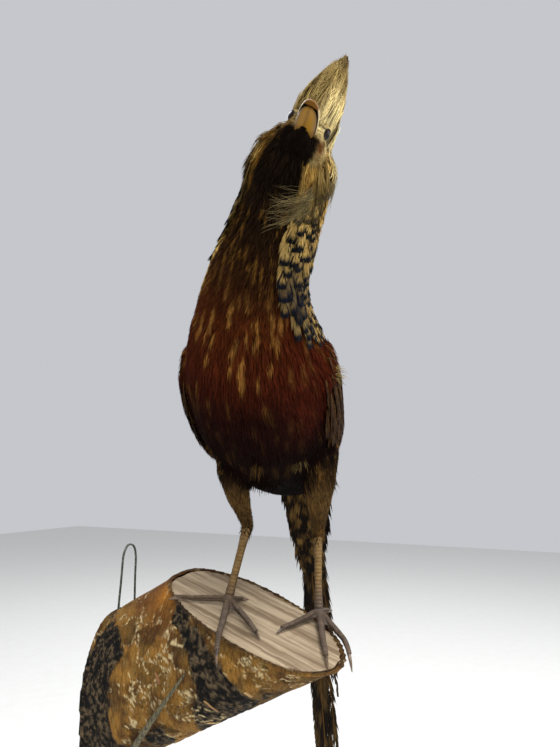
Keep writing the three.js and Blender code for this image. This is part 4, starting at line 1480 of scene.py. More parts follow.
@dataclass
class Tail:
    """The long tail behind the log, with its coverts."""

    drop: float = 72.0
    turn: float = 1.2
    layer_step: float = 2.0
    feathers: tuple[TailFeather, ...] = (
        TailFeather(520, 12.5, 0, 0),
        TailFeather(470, 11, 1.1, 1),
        TailFeather(440, 11, -1.2, 2),
        TailFeather(350, 11, 2.6, 3),
        TailFeather(320, 11, -2.8, 4),
        TailFeather(235, 11, 5, 5),
        TailFeather(215, 11, -5.2, 6),
    )

    def __post_init__(self) -> None:
        """Works out the tail's own directions."""
        turned = turn_z(-self.turn)
        low = math.radians(self.drop)
        self.way = turned @ np.array([-math.cos(low), 0, -math.sin(low)])
        self.left = turned @ np.array([0, 1.0, 0])
        self.back = -unit(np.cross(self.left, self.way))
        self.root = BODY.centre[0]

    def point(self, along: Array, across: Array, out: Array) -> Array:
        """Points of the tail: along it, across it and out from its back."""
        along, across, out = np.broadcast_arrays(along, across, out)
        return (self.root + along[..., None] * self.way + across[..., None] * self.left
                + out[..., None] * self.back)

    def line(self, feather: TailFeather, steps: int) -> Array:
        """The shaft of a feather."""
        share = np.linspace(0, 1, steps)
        along = -2 + share * (feather.length + 2)
        across = along * math.sin(math.radians(feather.splay)) * (1 - 0.25 * share)
        out = 6 - feather.layer * self.layer_step + 7 * share**2 * (feather.length / 520) ** 2
        return self.point(along, across, out)

    def tint(self, tone: float) -> Callable[[Array, Array, Array], Array]:
        """The colours of one feather, paler for a higher tone."""

        def colours(along: Array, across: Array, points: Array) -> Array:
            """Colours at places on one feather."""
            stretch = points * np.array([1, 1, 0.5])
            mottle = smooth(clouds(stretch, 6, 41), 0.5, 0.62)
            base = blend(Tone.TAIL.rgb, Tone.TAIL_SPOT.rgb, 0.22 * mottle)
            pale = smooth(along, 0.55, 0.95) * tone
            return blend(base, Tone.STRAW.rgb * 0.85, pale)

        return colours

    def build(self) -> bpy.types.Object:
        """All the long feathers, the undermost first."""
        maker = FeatherMaker(31)
        for feather in reversed(self.feathers):
            steps = 24
            line = self.line(feather, steps)
            up = np.tile(self.back, (steps, 1))
            quill = Quill(feather.length, feather.half * 0.7, spacing=1.0, square=0.1, slant=17, fray=0.14,
                          barb_half=0.6, gaps=0.1)
            tone = {0: 0.25, 1: 0.7, 2: 0.15}.get(feather.layer, 0.1)
            maker.add(line, up, quill, self.tint(tone), np.array([0.5 + 0.06 * feather.layer, 0.0]))
        finish = TintedFinish("tail_feather", 0.6, grain=0.3, gloss=0.06).material()
        return feather_object("tail_feathers", maker, finish)

    def coverts(self) -> bpy.types.Object:
        """The feathers over and under the root of the tail."""
        maker = FeatherMaker(32)
        rng = np.random.default_rng(33)
        for side in (1, -1):
            depth = 105 if side > 0 else 76
            for row in range(6):
                for i in range(7):
                    along = -14 + depth * 0.62 * row / 5
                    half = 20 * (1 - 0.45 * row / 5)
                    across = half * (2 * (i + 0.5 * (row % 2)) / 6.5 - 1)
                    reach = min(46, depth - along) * rng.uniform(0.8, 1.1)
                    steps = 8
                    share = np.linspace(0, 1, steps)
                    y = across * (1 - 0.2 * share) + rng.normal(0, 0.5)
                    bow = 7 * (1 - np.clip(y / 26, -1, 1) ** 2) * (1 - (along + share * reach) / 110)
                    out = side * (8.6 + 2.6 * (1 - row / 6) + bow - 0.5)
                    line = self.point(along + share * reach, y, out)
                    quill = Quill(reach, 6, spacing=1.2, square=0.15, slant=24, fray=0.3, barb_half=0.8)
                    tint = self.upper_tint if side > 0 else self.under_tint
                    maker.add(line, np.tile(self.back * side, (steps, 1)), quill, tint,
                              np.array([0.5 + 0.02 * i, 0.1 + 0.03 * row]))
        finish = TintedFinish("covert_feather", 0.6, grain=0.3, gloss=0.06).material()
        return feather_object("tail_coverts", maker, finish)

    def upper_tint(self, along: Array, across: Array, points: Array) -> Array:
        """Near black, mottled with brown."""
        return blend(Tone.TAIL.rgb, Tone.TAIL_SPOT.rgb * 0.6, smooth(clouds(points, 6, 43), 0.5, 0.7))

    def under_tint(self, along: Array, across: Array, points: Array) -> Array:
        """Near black."""
        return blend(Tone.BELLY.rgb, Tone.TAIL.rgb, smooth(along, 0.2, 0.9))


# ------------------------------------------------------------------ bare parts


def selected(piece: bpy.types.Object) -> bpy.types.Object:
    """Selects one piece alone."""
    bpy.ops.object.select_all(action="DESELECT")
    piece.select_set(True)
    bpy.context.view_layer.objects.active = piece
    return piece


def apply(piece: bpy.types.Object, kind: str, **settings: object) -> None:
    """Adds a modifier with settings and applies it."""
    selected(piece)
    modifier = piece.modifiers.new(kind.lower(), kind)
    for key, value in settings.items():
        setattr(modifier, key, value)
    bpy.ops.object.modifier_apply(modifier=modifier.name)


def weld() -> None:
    """Merges the points that the faces of the active piece share."""
    bpy.ops.object.mode_set(mode="EDIT")
    bpy.ops.mesh.select_all(action="SELECT")
    bpy.ops.mesh.remove_doubles(threshold=1e-5)
    bpy.ops.object.mode_set(mode="OBJECT")


def merged(names: Sequence[str], piece_name: str) -> bpy.types.Object:
    """One object made of merged copies of solids."""
    bpy.ops.object.select_all(action="DESELECT")
    made = []
    for name in names:
        copy = bpy.data.objects.new(piece_name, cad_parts[name].data.copy())
        bpy.context.scene.collection.objects.link(copy)
        copy.select_set(True)
        made.append(copy)
    bpy.context.view_layer.objects.active = made[0]
    if len(made) > 1:
        bpy.ops.object.join()
    weld()
    made[0].data.materials.clear()
    return made[0]


def places(mesh: bpy.types.Mesh) -> Array:
    """A mesh's points, in row-frame metres."""
    out = np.zeros(len(mesh.vertices) * 3)
    mesh.vertices.foreach_get("co", out)
    return out.reshape(-1, 3)


def normals(mesh: bpy.types.Mesh) -> Array:
    """A mesh's point normals."""
    out = np.zeros(len(mesh.vertices) * 3)
    mesh.vertices.foreach_get("normal", out)
    return out.reshape(-1, 3)


def set_places(mesh: bpy.types.Mesh, points: Array) -> None:
    """Moves a mesh's points."""
    mesh.vertices.foreach_set("co", points.astype(np.float32).ravel())
    mesh.update()


def solid_tree(node: str, change: Callable[[Array], Array]) -> BVHTree:
    """A search tree over a solid, its points changed to another frame."""
    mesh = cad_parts[node].data
    return BVHTree.FromPolygons([tuple(p) for p in change(places(mesh))],
                                [tuple(p.vertices) for p in mesh.polygons])


def nearness(points: Array, patch: tuple[float, float, float, float]) -> Array:
    """How near points are to a patch: 1 at its middle, falling away over its reach."""
    *middle, reach = patch
    gap = np.linalg.norm((points - np.array(middle)) / reach, axis=1)
    return np.exp(-(gap**2))


def slab(base: int, rows: int, columns: int) -> list[tuple[int, ...]]:
    """Faces of a closed slab: an outer grid of points, then an inner one, and the rim between."""
    block = rows * columns
    faces = []
    for i in range(rows - 1):
        for j in range(columns - 1):
            a = base + i * columns + j
            b = a + block
            faces.append((a, a + columns, a + columns + 1, a + 1))
            faces.append((b, b + 1, b + columns + 1, b + columns))
    rim = [base + j for j in range(columns)]
    rim += [base + i * columns + columns - 1 for i in range(1, rows)]
    rim += [base + (rows - 1) * columns + j for j in range(columns - 2, -1, -1)]
    rim += [base + i * columns for i in range(rows - 2, 0, -1)]
    for a, b in zip(rim, rim[1:] + rim[:1]):
        faces.append((a, b, b + block, a + block))
    return faces


def outward(piece: bpy.types.Object) -> None:
    """Turns all faces of a closed piece outwards."""
    selected(piece)
    bpy.ops.object.mode_set(mode="EDIT")
    bpy.ops.mesh.select_all(action="SELECT")
    bpy.ops.mesh.normals_make_consistent(inside=False)
    bpy.ops.object.mode_set(mode="OBJECT")


@dataclass
class Bill:
    """The horn of the bill: an arched upper half that hooks over a trough-shaped lower half."""

    upper_length: float = 26.5
    upper_half: float = 7.3
    lower_length: float = 21.0
    lower_half: float = 6.6
    nail_from: float = 0.74
    rings: int = 22
    around: int = 15

    def loft(self, name: str, rings: Array, colours: Array) -> bpy.types.Object:
        """A closed body through rings of points in the head's frame, with its tint.

        Args:
            name: the piece's name.
            rings: (R, N, 3) points.
            colours: (R, N, 3) linear colours.

        Returns:
            The smoothed piece.
        """
        count, around, _ = rings.shape
        faces = [tuple(range(around))[::-1]]
        for r in range(count - 1):
            for j in range(around):
                a, b = r * around + j, r * around + (j + 1) % around
                faces.append((a, b, b + around, a + around))
        faces.append(tuple((count - 1) * around + j for j in range(around)))
        mesh = bpy.data.meshes.new(name)
        mesh.from_pydata([tuple(p) for p in to_row(head_to_bird(rings.reshape(-1, 3)))], [], faces)
        mesh.update()
        paint(mesh, colours.reshape(-1, 3))
        piece = new_object(name, mesh, TintedFinish(name, 0.3, gloss=0.2).material())
        outward(piece)
        apply(piece, "SUBSURF", levels=2, render_levels=2)
        bpy.ops.object.shade_smooth()
        return piece

    def shares(self) -> Array:
        """Places along a half, closer together at its tip."""
        return np.sin(np.linspace(-0.12, math.pi / 2, self.rings))

    def upper(self) -> bpy.types.Object:
        """The arched half with its pale rim, an underside painted dark as the shade in the gape, and brown
        nail.
        """
        rings, colours = [], []
        theta = np.linspace(0, math.pi, self.around)
        inner = np.linspace(-1, 1, 6)
        for s in self.shares():
            t = max(s, 0.0)
            top = 6.8 - 2.0 * t - 3.4 * t**2 - 3.4 * t**6
            rim = -1.6 - 0.5 * t - 0.5 * t**7
            wide = max(0.25, self.upper_half * (1 - t**3.2) ** 0.55 * (1 - 0.1 * t))
            height = max(top - rim, 0.3)
            nail = float(smooth(t, self.nail_from, self.nail_from + 0.08))
            y, z = wide * np.cos(theta), rim + height * np.sin(theta) ** 0.85
            nostril = np.exp(-(((s * self.upper_length - 7.0) / 2.0) ** 2 + ((z - 2.6) / 0.9) ** 2))
            y = y - np.sign(y) * 0.9 * nostril
            roof = rim + 0.7 * (1 - nail) + 0.05
            under = np.stack([np.full(6, s), inner * max(wide - 0.75, 0.1), np.full(6, roof)], -1)
            ring = np.concatenate([np.stack([np.full(len(y), s), y, z], -1), under])
            ring[:, 0] *= self.upper_length
            rings.append(ring)
            height_share = (z - rim) / height
            shade = blend(linear("a9804a"), linear("6e4a22"), smooth(height_share, 0.2, 0.8))
            pale = smooth(-height_share, -0.42, -0.12) * smooth(-t, -0.9, -0.7)
            shade = blend(shade, linear("e3cfa0"), pale)
            shade = blend(shade, linear("6f4a1c"), np.full(len(y), nail))
            # Painted shade in the dent of the nostril.
            shade = blend(shade, linear("20140b"), nostril)
            # The underside is painted near black as shade in the gape, and brown under the nail.
            palate_shade = blend(linear("0b0705"), linear("6f4a1c"), np.full(6, nail))
            colours.append(np.concatenate([shade, palate_shade]))
        return self.loft("upper_bill", np.array(rings), np.array(colours))

    def lower(self) -> bpy.types.Object:
        """The amber half, blunt at its tip, its upper edge painted dark as the shade in the gape."""
        rings, colours = [], []
        theta = np.linspace(0, math.pi, self.around)
        for s in self.shares():
            t = max(s, 0.0)
            edge = -1.5 - 0.5 * t
            keel = -6.3 + 1.2 * t**2 + 1.6 * t**6
            wide = max(0.25, self.lower_half * (1 - t**4) ** 0.5 * (1 - 0.12 * t))
            depth = max(edge - keel, 0.3)
            y, z = -wide * np.cos(theta), edge - depth * np.sin(theta) ** 0.75
            across = np.linspace(0.8, -0.8, 4) * wide
            lid = np.stack([np.full(4, s), across, np.full(4, edge + 0.15)], -1)
            ring = np.concatenate([np.stack([np.full(len(y), s), y, z], -1), lid])
            ring[:, 0] *= self.lower_length
            rings.append(ring)
            low = (edge - z) / depth
            shade = blend(linear("6f4f1a"), linear("916a24"), smooth(low, 0.3, 0.95))
            shade = blend(shade, linear("5c3d17"), np.exp(-((y / 1.1) ** 2)) * 0.6)
            shade = blend(shade, linear("5c3d17"), np.full(len(y), 0.6 * float(smooth(-t, -0.35, -0.1))))
            # Painted shade in the gape: the upper edge darkens to near black, and the flat top is near black.
            shade = blend(shade, linear("140c07"), smooth(-low, -0.3, -0.05))
            colours.append(np.concatenate([shade, np.tile(linear("0b0705"), (4, 1))]))
        return self.loft("lower_bill", np.array(rings), np.array(colours))


@dataclass
class Eye:
    """A glass eye under a lid that covers it all but an almond opening."""

    side: int
    radius: float = EYE_RADIUS
    half_long: float = 60.0
    half_high: float = 46.0
    lid_reach: float = 104.0
    lid_rise: float = 0.3
    lid_half: float = 0.28
    turned_back: float = -14.0
    turned_down: float = 12.0

    def centre(self) -> Array:
        """The middle of the eye, bird frame."""
        return head_to_bird(EYE_AT * np.array([1, self.side, 1]))

    def opening(self, around: Array) -> Array:
        """How far the opening's edge is from the eye's axis, in degrees, at angles round it."""
        return 1 / np.hypot(np.cos(around) / self.half_long, np.sin(around) / self.half_high)

    def turned(self, around: Array, polar: Array, reach: Array) -> Array:
        """Bird-frame points at angles round and away from the eye's axis."""
        polar = np.radians(polar)
        q = np.stack([np.sin(polar) * np.cos(around), np.cos(polar) * self.side,
                      np.sin(polar) * np.sin(around)], -1)
        q = (q * np.asarray(reach)[..., None]) @ turn_x(-self.side * self.turned_down).T
        return q @ turn_z(self.side * self.turned_back).T @ HEAD_TURN.T + self.centre()

    def ball(self) -> bpy.types.Object:
        """The ball, with a dark iris round the pupil."""
        bpy.ops.object.select_all(action="DESELECT")
        bpy.ops.mesh.primitive_uv_sphere_add(segments=48, ring_count=32, radius=1.0)
        piece = bpy.context.view_layer.objects.active
        piece.name = f"glass_eye_{'left' if self.side > 0 else 'right'}"
        bpy.ops.object.shade_smooth()
        q = places(piece.data)
        polar = np.degrees(np.arccos(np.clip(q[:, 2], -1, 1)))
        around = np.arctan2(q[:, 1], q[:, 0])
        colour = blend(linear("030303"), linear("241208"), smooth(polar, 26, 30))
        colour = blend(colour, linear("070504"), smooth(polar, 40, 50))
        paint(piece.data, colour)
        set_places(piece.data, to_row(self.turned(around, polar, np.full(len(q), self.radius * 0.99))))
        outward(piece)
        board = Board(piece.name)
        tint = board.tint()
        piece.data.materials.append(
            board.finish(tint, 0.06, Coat_Weight=0.12, Coat_Roughness=0.02, Specular_IOR_Level=0.12))
        return piece

    def lid(self) -> bpy.types.Object:
        """The lid: a closed shell round the ball, dark at the opening's edge."""
        bpy.ops.object.select_all(action="DESELECT")
        bpy.ops.mesh.primitive_torus_add(major_segments=72, minor_segments=20, major_radius=1.0,
                                         minor_radius=0.5)
        piece = bpy.context.view_layer.objects.active
        piece.name = f"eyelid_{'left' if self.side > 0 else 'right'}"
        bpy.ops.object.shade_smooth()
        q = places(piece.data)
        around = np.arctan2(q[:, 1], q[:, 0])
        far = np.clip(np.hypot(q[:, 0], q[:, 1]) - 0.5, 0, 1)
        edge = self.opening(around)
        polar = edge + (self.lid_reach - edge) * far
        swell = self.lid_half * (1 + 0.5 * smooth(-far, -0.2, 0))
        reach = self.radius + self.lid_rise + swell * q[:, 2] / 0.5
        points = self.turned(around, polar, reach)
        colour = blend(MARKINGS.head(points) * 0.8, linear("120d09"), smooth(-(polar - edge), -7, -1.5))
        paint(piece.data, colour)
        set_places(piece.data, to_row(points))
        outward(piece)
        piece.data.materials.append(TintedFinish(piece.name, 0.6, grain=0.5, gloss=0.1).material())
        return piece


def perch(x: float, y: float) -> float:
    """The height of the sawn face under a place in the bird's frame."""
    dx, dy, _ = BIRD_TURN @ np.array([x, y, 0.0])
    return FACE_RISE_Y * dy + FACE_RISE_X * dx


@dataclass
class Legs:
    """Scales of shanks and toes, and the claws."""

    hocks: dict[str, tuple[float, float, float]] = field(default_factory=lambda: {
        "right": (1, -24.5, 74), "left": (-22, 37, 66.5)})
    feet: dict[str, tuple[float, float]] = field(default_factory=lambda: {
        "right": (16.2, -36.4), "left": (-7, 40)})
    foot_height: float = 7.0
    toe_radii: tuple[float, ...] = (3.4, 2.9, 2.5, 2.1)
    shank_radii: tuple[float, ...] = (4.6, 3.5, 3.3, 4.2)
    plate_columns: int = 5
    plate_depth: float = 0.4
    toes: dict[str, tuple[float, tuple[tuple[float, float, float], ...]]] = field(default_factory=lambda: {
        "right_outer": (0.2, ((19, -50, 5), (25, -66, 3.4), (30, -78, 3.2), (33, -86, 1.4))),
        "right_middle": (0.2, ((32, -33, 5), (48, -29.5, 3.4), (59, -27.5, 2.4), (66, -26, -5),
                               (69, -25, -15))),
        "right_inner": (0.22, ((26, -22, 5), (36, -9, 3.4), (43, -2, 3.2), (47, 3, 1.4))),
        "right_hind": (0.38, ((8, -31, 4.4), (2, -27, 3), (-3, -24, 1.2))),
        "left_outer": (0.24, ((1, 50, 5), (11, 61, 3.4), (19, 67.5, 2.6), (27, 72, -3), (31, 74, -10))),
        "left_middle": (0.2, ((9, 45, 5), (26, 50, 3.4), (42, 55, 3.2), (54, 59, 1.4))),
        "left_inner": (0.22, ((6, 31, 5), (18, 22, 3.4), (27, 16, 3.2), (32.5, 12.5, 1.4))),
        "left_hind": (0.38, ((-15, 44, 4.4), (-21, 46.5, 3), (-26, 49, 1.2))),
    })

    def ball(self, side: str) -> Array:
        """The ball of a foot."""
        x, y = self.feet[side]
        return np.array([x, y, perch(x, y) + self.foot_height])

    def plates(self, line: Array, radii: Array, facing: Array, pitch: float,
               span: float) -> tuple[Array, list[tuple[int, ...]]]:
        """Overlapping scales along a tapering limb.

        Args:
            line: points down its middle.
            radii: its radius at each.
            facing: the direction that the scales face.
            pitch: spacing of the scales.
            span: half the angle that each wraps, in degrees.

        Returns:
            Points and faces of the scales.
        """
        reach = np.concatenate([[0], np.cumsum(np.linalg.norm(np.diff(line, axis=0), axis=1))])
        number = int(reach[-1] / pitch)
        verts, faces = [], []
        for i in range(number):
            ends = []
            for d, proud in ((i * pitch, 0.12), ((i + 0.55) * pitch, 0.5), ((i + 1.12) * pitch, 0.38)):
                centre = np.array([np.interp(d, reach, line[:, k]) for k in range(3)])
                ahead = np.array([np.interp(min(d + 0.5, reach[-1]), reach, line[:, k]) for k in range(3)])
                behind = np.array([np.interp(max(d - 0.5, 0), reach, line[:, k]) for k in range(3)])
                way = unit(ahead - behind)
                up = unit(facing - way * (facing @ way))
                across = np.cross(way, up)
                radius = float(np.interp(d, reach, radii))
                ring, inside = [], []
                for a in np.radians(np.linspace(-span, span, self.plate_columns)):
                    edge = 1 - 0.5 * abs(a / math.radians(span)) ** 4
                    out = up * math.cos(a) + across * math.sin(a)
                    ring.append(centre + out * (radius + proud * edge))
                    inside.append(centre + out * (radius - self.plate_depth))
                ends.append((ring, inside))
            base = len(verts)
            for layer in range(2):
                for end in ends:
                    verts.extend(end[layer])
            faces.extend(slab(base, len(ends), self.plate_columns))
        return np.array(verts), faces

    def scales(self) -> bpy.types.Object:
        """All the scales of both legs, joined."""
        verts, faces = [], []

        def take(found: tuple[Array, list[tuple[int, ...]]]) -> None:
            """Adds the points and faces of one row of scales."""
            start = sum(len(v) for v in verts)
            verts.append(found[0])
            faces.extend(tuple(start + i for i in f) for f in found[1])

        for side in ("right", "left"):
            hock, ball = np.array(self.hocks[side], float), self.ball(side)
            line = catmull(np.array([hock + (ball - hock) * s for s in (0.06, 0.35, 0.7, 0.97)]), 40)
            radii = np.interp(np.linspace(0, 1, 40), [0, 0.33, 0.67, 1], self.shank_radii)
            take(self.plates(line, radii, np.array([1.0, 0.1, 0.1]), 3.2, 62))
            take(self.plates(line, radii, np.array([-1.0, 0.1, -0.1]), 2.6, 52))
        for name, (claw, track) in self.toes.items():
            side = name.split("_")[0]
            points = np.array([self.ball(side), *[(x, y, perch(x, y) + h) for x, y, h in track]])
            line = catmull(points, 60)
            line = line[: int(60 * (1 - claw)) + 1]
            radii = np.interp(np.linspace(0, 1, len(line)), [0, 0.33, 0.67, 1], self.toe_radii)
            take(self.plates(line[4:], radii[4:], np.array([0, 0, 1.0]), 2.0, 66))
        mesh = bpy.data.meshes.new("leg_scales")
        points = np.concatenate(verts)
        mesh.from_pydata([tuple(p) for p in to_row(points)], [], faces)
        mesh.update()
        mesh.polygons.foreach_set("use_smooth", np.ones(len(mesh.polygons), bool))
        colour = MARKINGS.leg(points) * (0.75 + 0.5 * scatter(np.floor(points / 3)))[:, None]
        paint(mesh, colour)
        finish = TintedFinish("leg_scale", 0.55, grain=1.0, gloss=0.2).material()
        piece = new_object("leg_scales", mesh, finish)
        outward(piece)
        return piece

    def claws(self) -> bpy.types.Object:
        """The eight claws, smoothed."""
        names = [f"claw_{name}" for name in self.toes]
        piece = merged(names, "claws")
        apply(piece, "SUBSURF", levels=2, render_levels=2)
        bpy.ops.object.shade_smooth()
        piece.data.materials.append(HornFinish("claw_horn", "241a12", "6a543c").material())
        return piece


# ------------------------------------------------------------------ the log


@dataclass
class BirchLog:
    """A short birch log cut at a slant, its bark peeling."""

    voxel: float = 1.9
    bark_relief: float = 1.3
    grain_way: tuple[float, float, float] = (-0.09, -0.96, -0.26)
    grain_side: tuple[float, float, float] = (0.99, -0.09, -0.1)
    # Middles and reach of the dark patches, and of the places kept clean of them.
    crusts: tuple[tuple[float, float, float, float], ...] = (
        (-47, -8, 5, 30), (-46, -25, 60, 24), (-48, -26, 30, 26), (-47, -23, -30, 26),
        (-66, -124, 96, 12),
        (-72, -139, 80, 13), (-73, -151, 63, 15), (-72, -166, 44, 18),
        (-60, -182, 28, 18), (-57, -150, 8, 20),
        (-64, -208, 45, 7), (-52, -95, -18, 18), (20, -90, -60, 30), (46, -60, 60, 26), (44, -140, 30, 22),
        (20, -30, -70, 26), (30, -80, 110, 20),
    )
    clean: tuple[tuple[float, float, float, float], ...] = (
        (-44, -75, 100, 22), (-58, -77, 62, 22), (-60, -70, 26, 20), (-64, -98, 50, 18), (-82, -205, 78, 26),
        (-78, -226, 66, 24), (-66, -122, 36, 12), (-58, -72, 0, 16),
    )

    # Middles and reach of the pale places.
    bare: tuple[tuple[float, float, float, float], ...] = (
        (-58, -66, 26, 15), (-63, -90, 46, 15), (-66, -105, 58, 13), (-68, -118, 76, 14), (-63, -136, 20, 15),
        (-57, -151, 17, 14), (-78, -226, 66, 13), (-54, -68, -4, 13), (-46, -170, 0, 16),
    )

    def face_gap(self, points: Array) -> Array:
        """Distances under the plane of the sawn face, row-frame millimetres."""
        x, y, z = points.T
        return BIRD_AT[2] + FACE_RISE_Y * (y - BIRD_AT[1]) + FACE_RISE_X * (x - BIRD_AT[0]) - z

    def wood(self) -> bpy.types.Object:
        """The wood with its sawn face, scored along the saw's run."""
        piece = merged(["log_wood"], "sawn_wood")
        apply(piece, "REMESH", mode="VOXEL", voxel_size=2.2 * MM, use_smooth_shade=True)
        points, out = places(piece.data) / MM, normals(piece.data)
        on_face = smooth(out[:, 2], 0.7, 0.9)
        run = points @ np.array(self.grain_way)
        across = points @ np.array(self.grain_side)
        score = clouds(np.stack([across, run * 0.05, run * 0], -1), 2.2, 61)
        pits = smooth(clouds(points, 9, 62), 0.55, 0.75)
        depth = on_face * (0.2 + 0.75 * score + 0.6 * pits)
        set_places(piece.data, (points - out * depth[:, None]) * MM)
        board = Board("sawn_wood")
        p = board.make("ShaderNodeTexCoord", out="Object")
        dot = {"operation": "DOT_PRODUCT"}
        run = board.make("ShaderNodeVectorMath", dot, p, self.grain_way, out="Value")
        side = board.make("ShaderNodeVectorMath", dot, p, self.grain_side, out="Value")
        along = board.make("ShaderNodeCombineXYZ", None, side, run * 0.035, 0.0)
        broad = board.noise(along, 130, 3)
        fine = board.noise(along, 640, 4)
        colour = board.mix(broad.step(0.38, 0.62), linear("75634e"), linear("a8967c"))
        colour = board.mix(fine.step(0.52, 0.66) * 0.35, colour, linear("54453a"))
        # Darker blotches here and there over the wood.
        dark_blotches = board.noise(p, 26, 5)
        colour = board.mix(dark_blotches.step(0.52, 0.72) * 0.5, colour, linear("5b4c3a"))
        finish = board.finish(colour, 0.9, broad + fine * 0.6, 0.0009, Specular_IOR_Level=0.1)
        piece.data.materials.append(finish)
        return piece

    def bark(self) -> bpy.types.Object:
        """The bark, with cracked dark patches and smooth orange ones."""
        piece = merged(["log_bark"], "birch_bark")
        apply(piece, "REMESH", mode="VOXEL", voxel_size=self.voxel * MM, use_smooth_shade=True)
        points, out = places(piece.data) / MM, normals(piece.data)
        outer = smooth(np.hypot(out[:, 0], out[:, 2] * 0.9), 0.4, 0.8)
        outer = outer * smooth(self.face_gap(points), 1.0, 6.0) * smooth(-points[:, 1], 1.5, 6)
        crust = self.crust(points)
        fine = clouds(points * np.array([1, 1.6, 1]), 5, 63)
        lumps = clouds(points, 26, 64)
        torn = self.torn(points)
        depth = outer * (self.bark_relief * (1 - crust) * (0.4 + 0.7 * smooth(torn, 0.0, 0.03))
                         + 2.2 * (1 - fine) * crust + 1.1 * (1 - lumps))
        set_places(piece.data, (points - out * depth[:, None]) * MM)
        paint(piece.data, self.colours(points, crust))
        board = Board("birch_bark")
        tint = board.tint()
        fleck = board.noise(board.place((1, 2.2, 1)), 260, 6, 0.65)
        flake = board.make("ShaderNodeTexVoronoi", {"feature": "DISTANCE_TO_EDGE"},
                           Vector=board.place((1, 1.8, 1)), Scale=120)
        colour = board.mix(fleck.step(0.54, 0.68) * 0.6, tint, linear("170f08"))
        pale = board.noise(board.place((1, 0.5, 1)), 330, 4)
        colour = board.mix(pale.step(0.64, 0.74) * 0.22, colour, linear("b08f5c"))
        bump = fleck + flake.step(0, 0.12) * 0.5
        finish = board.finish(colour, fleck * 0.2 + 0.65, bump, 0.0022, Specular_IOR_Level=0.12)
        piece.data.materials.append(finish)
        return piece

    def bared(self, points: Array) -> Array:
        """Pale ragged patches where the bark's outer layers are pulled off."""
        field_value = np.zeros(len(points))
        for patch in self.bare:
            field_value = np.maximum(field_value, nearness(points, patch))
        winding = clouds(points * np.array([1.3, 0.7, 1.3]), 11, 77) + 0.2 * clouds(points, 3.5, 78) - 0.6
        return smooth(field_value * np.exp(-((winding / 0.035) ** 2)), 0.3, 0.5)

    def torn(self, points: Array) -> Array:
        """Over zero where the outermost bark is gone; its torn edge is at zero."""
        return clouds(points * np.array([1.2, 0.75, 0.9]), 20, 72) + 0.25 * clouds(points, 5, 73) - 0.655

    def crust(self, points: Array) -> Array:
        """Where the bark is dark, thick and cracked."""
        field_value = 0.9 * (clouds(points * np.array([1, 0.8, 1]), 30, 65) - 0.5)
        for patch in self.crusts:
            field_value += 0.55 * nearness(points, patch)
        for patch in self.clean:
            field_value -= 0.6 * nearness(points, patch)
        field_value += 0.35 * (clouds(points, 7, 69) - 0.5)
        return smooth(field_value, 0.16, 0.26)

    def colours(self, points: Array, crust: Array) -> Array:
        """The bark's colours, from its patches, its streaks and its torn edges."""
        n = clouds(points, 12, 66)
        fine = clouds(points * np.array([0.6, 1.8, 0.6]), 4, 70)
        skin = blend(linear("553714"), linear("93692c"), smooth(n, 0.3, 0.7))
        skin = blend(skin, linear("7b6638"), 0.5 * smooth(fine, 0.5, 0.7))
        red = smooth(points[:, 2] - 0.35 * points[:, 1], 90, 130) * smooth(points[:, 1], -135, -100)
        skin = blend(skin, blend(linear("5c331b"), linear("8a5a24"), fine), 0.85 * red)
        gold = np.exp(-(((points - np.array([-48, -100, 108])) / 16) ** 2).sum(1))
        skin = blend(skin, linear("b8792a"), gold)
        torn = self.torn(points)
        skin = blend(skin, skin * 0.62, smooth(torn, 0.0, 0.02))
        edge = np.exp(-((torn / 0.013) ** 2)) * smooth(clouds(points, 14, 74), 0.38, 0.55)
        skin = blend(skin, linear("d9c394"), 0.9 * edge)
        skin = blend(skin, linear("cdb687"), self.bared(points))
        dark = blend(linear("080605"), linear("62523c"), smooth(clouds(points, 3.4, 67), 0.46, 0.72))
        colour = blend(skin, dark, crust)
        rim = smooth(-self.face_gap(points), -2.2, -0.3)
        colour = blend(colour, linear("3a2a1a"), 0.7 * rim)
        return blend(colour, linear("cdb687"), self.bared(points) * (1 - rim) * 0.85)

    def peels(self) -> bpy.types.Object:
        """Thin curled strips of outer bark."""
        rng = np.random.default_rng(71)
        tree = solid_tree("log_bark", lambda points: points / MM)
        verts, faces, tints = [], [], []
        for _ in range(16):
            side = rng.uniform(0, 2 * math.pi)
            y = rng.uniform(-230, -15)
            past = y - BIRD_AT[1]
            guess = np.array([150 * math.cos(side), y, 170 * math.sin(side)])
            guess = guess + np.array([BIRD_AT[0] - LOG_RUN[0] * past, 0, -LOG_RUN[2] * past + 20])
            spot, out, _, _ = tree.find_nearest(Vector(guess))
            spot, out = np.array(spot), np.array(out)
            if abs(out[1]) > 0.6 or spot[1] > -6 or self.face_gap(spot[None])[0] < 5:
                continue
            around = unit(np.cross(out, np.array([-0.31, -1.0, 0.5])))
            length = unit(np.cross(around, out))
            wide, long = rng.uniform(2, 5), rng.uniform(9, 20)
            curl, lift = rng.uniform(0.4, 1.2), rng.uniform(0.2, 0.5)
            base = len(verts)
            steps, across = 9, 4
            skew = rng.normal(0, 0.25)
            tone = blend(linear("b8965e"), linear("7c4f24"), np.array(rng.random()))
            for layer in (0.0, 0.35):
                for i in range(steps):
                    s = i / (steps - 1)
                    for j in range(across):
                        u = (j / (across - 1) - 0.5) * wide * (1 - 0.5 * s**3)
                        rise = lift * s * 2 + curl * max(0.0, s - 0.55) ** 1.5 * 3 - 1.6
                        along = long * (s - 0.6 * max(0.0, s - 0.6) ** 1.4)
                        found, normal, _, _ = tree.find_nearest(Vector(spot + around * along + length * u))
                        aside = length * (skew * along * 0.2)
                        verts.append(np.array(found) + np.array(normal) * (rise + layer) + aside)
                        tints.append(tone * (0.7 + 0.5 * s))
            faces.extend(slab(base, steps, across))
        mesh = bpy.data.meshes.new("bark_peels")
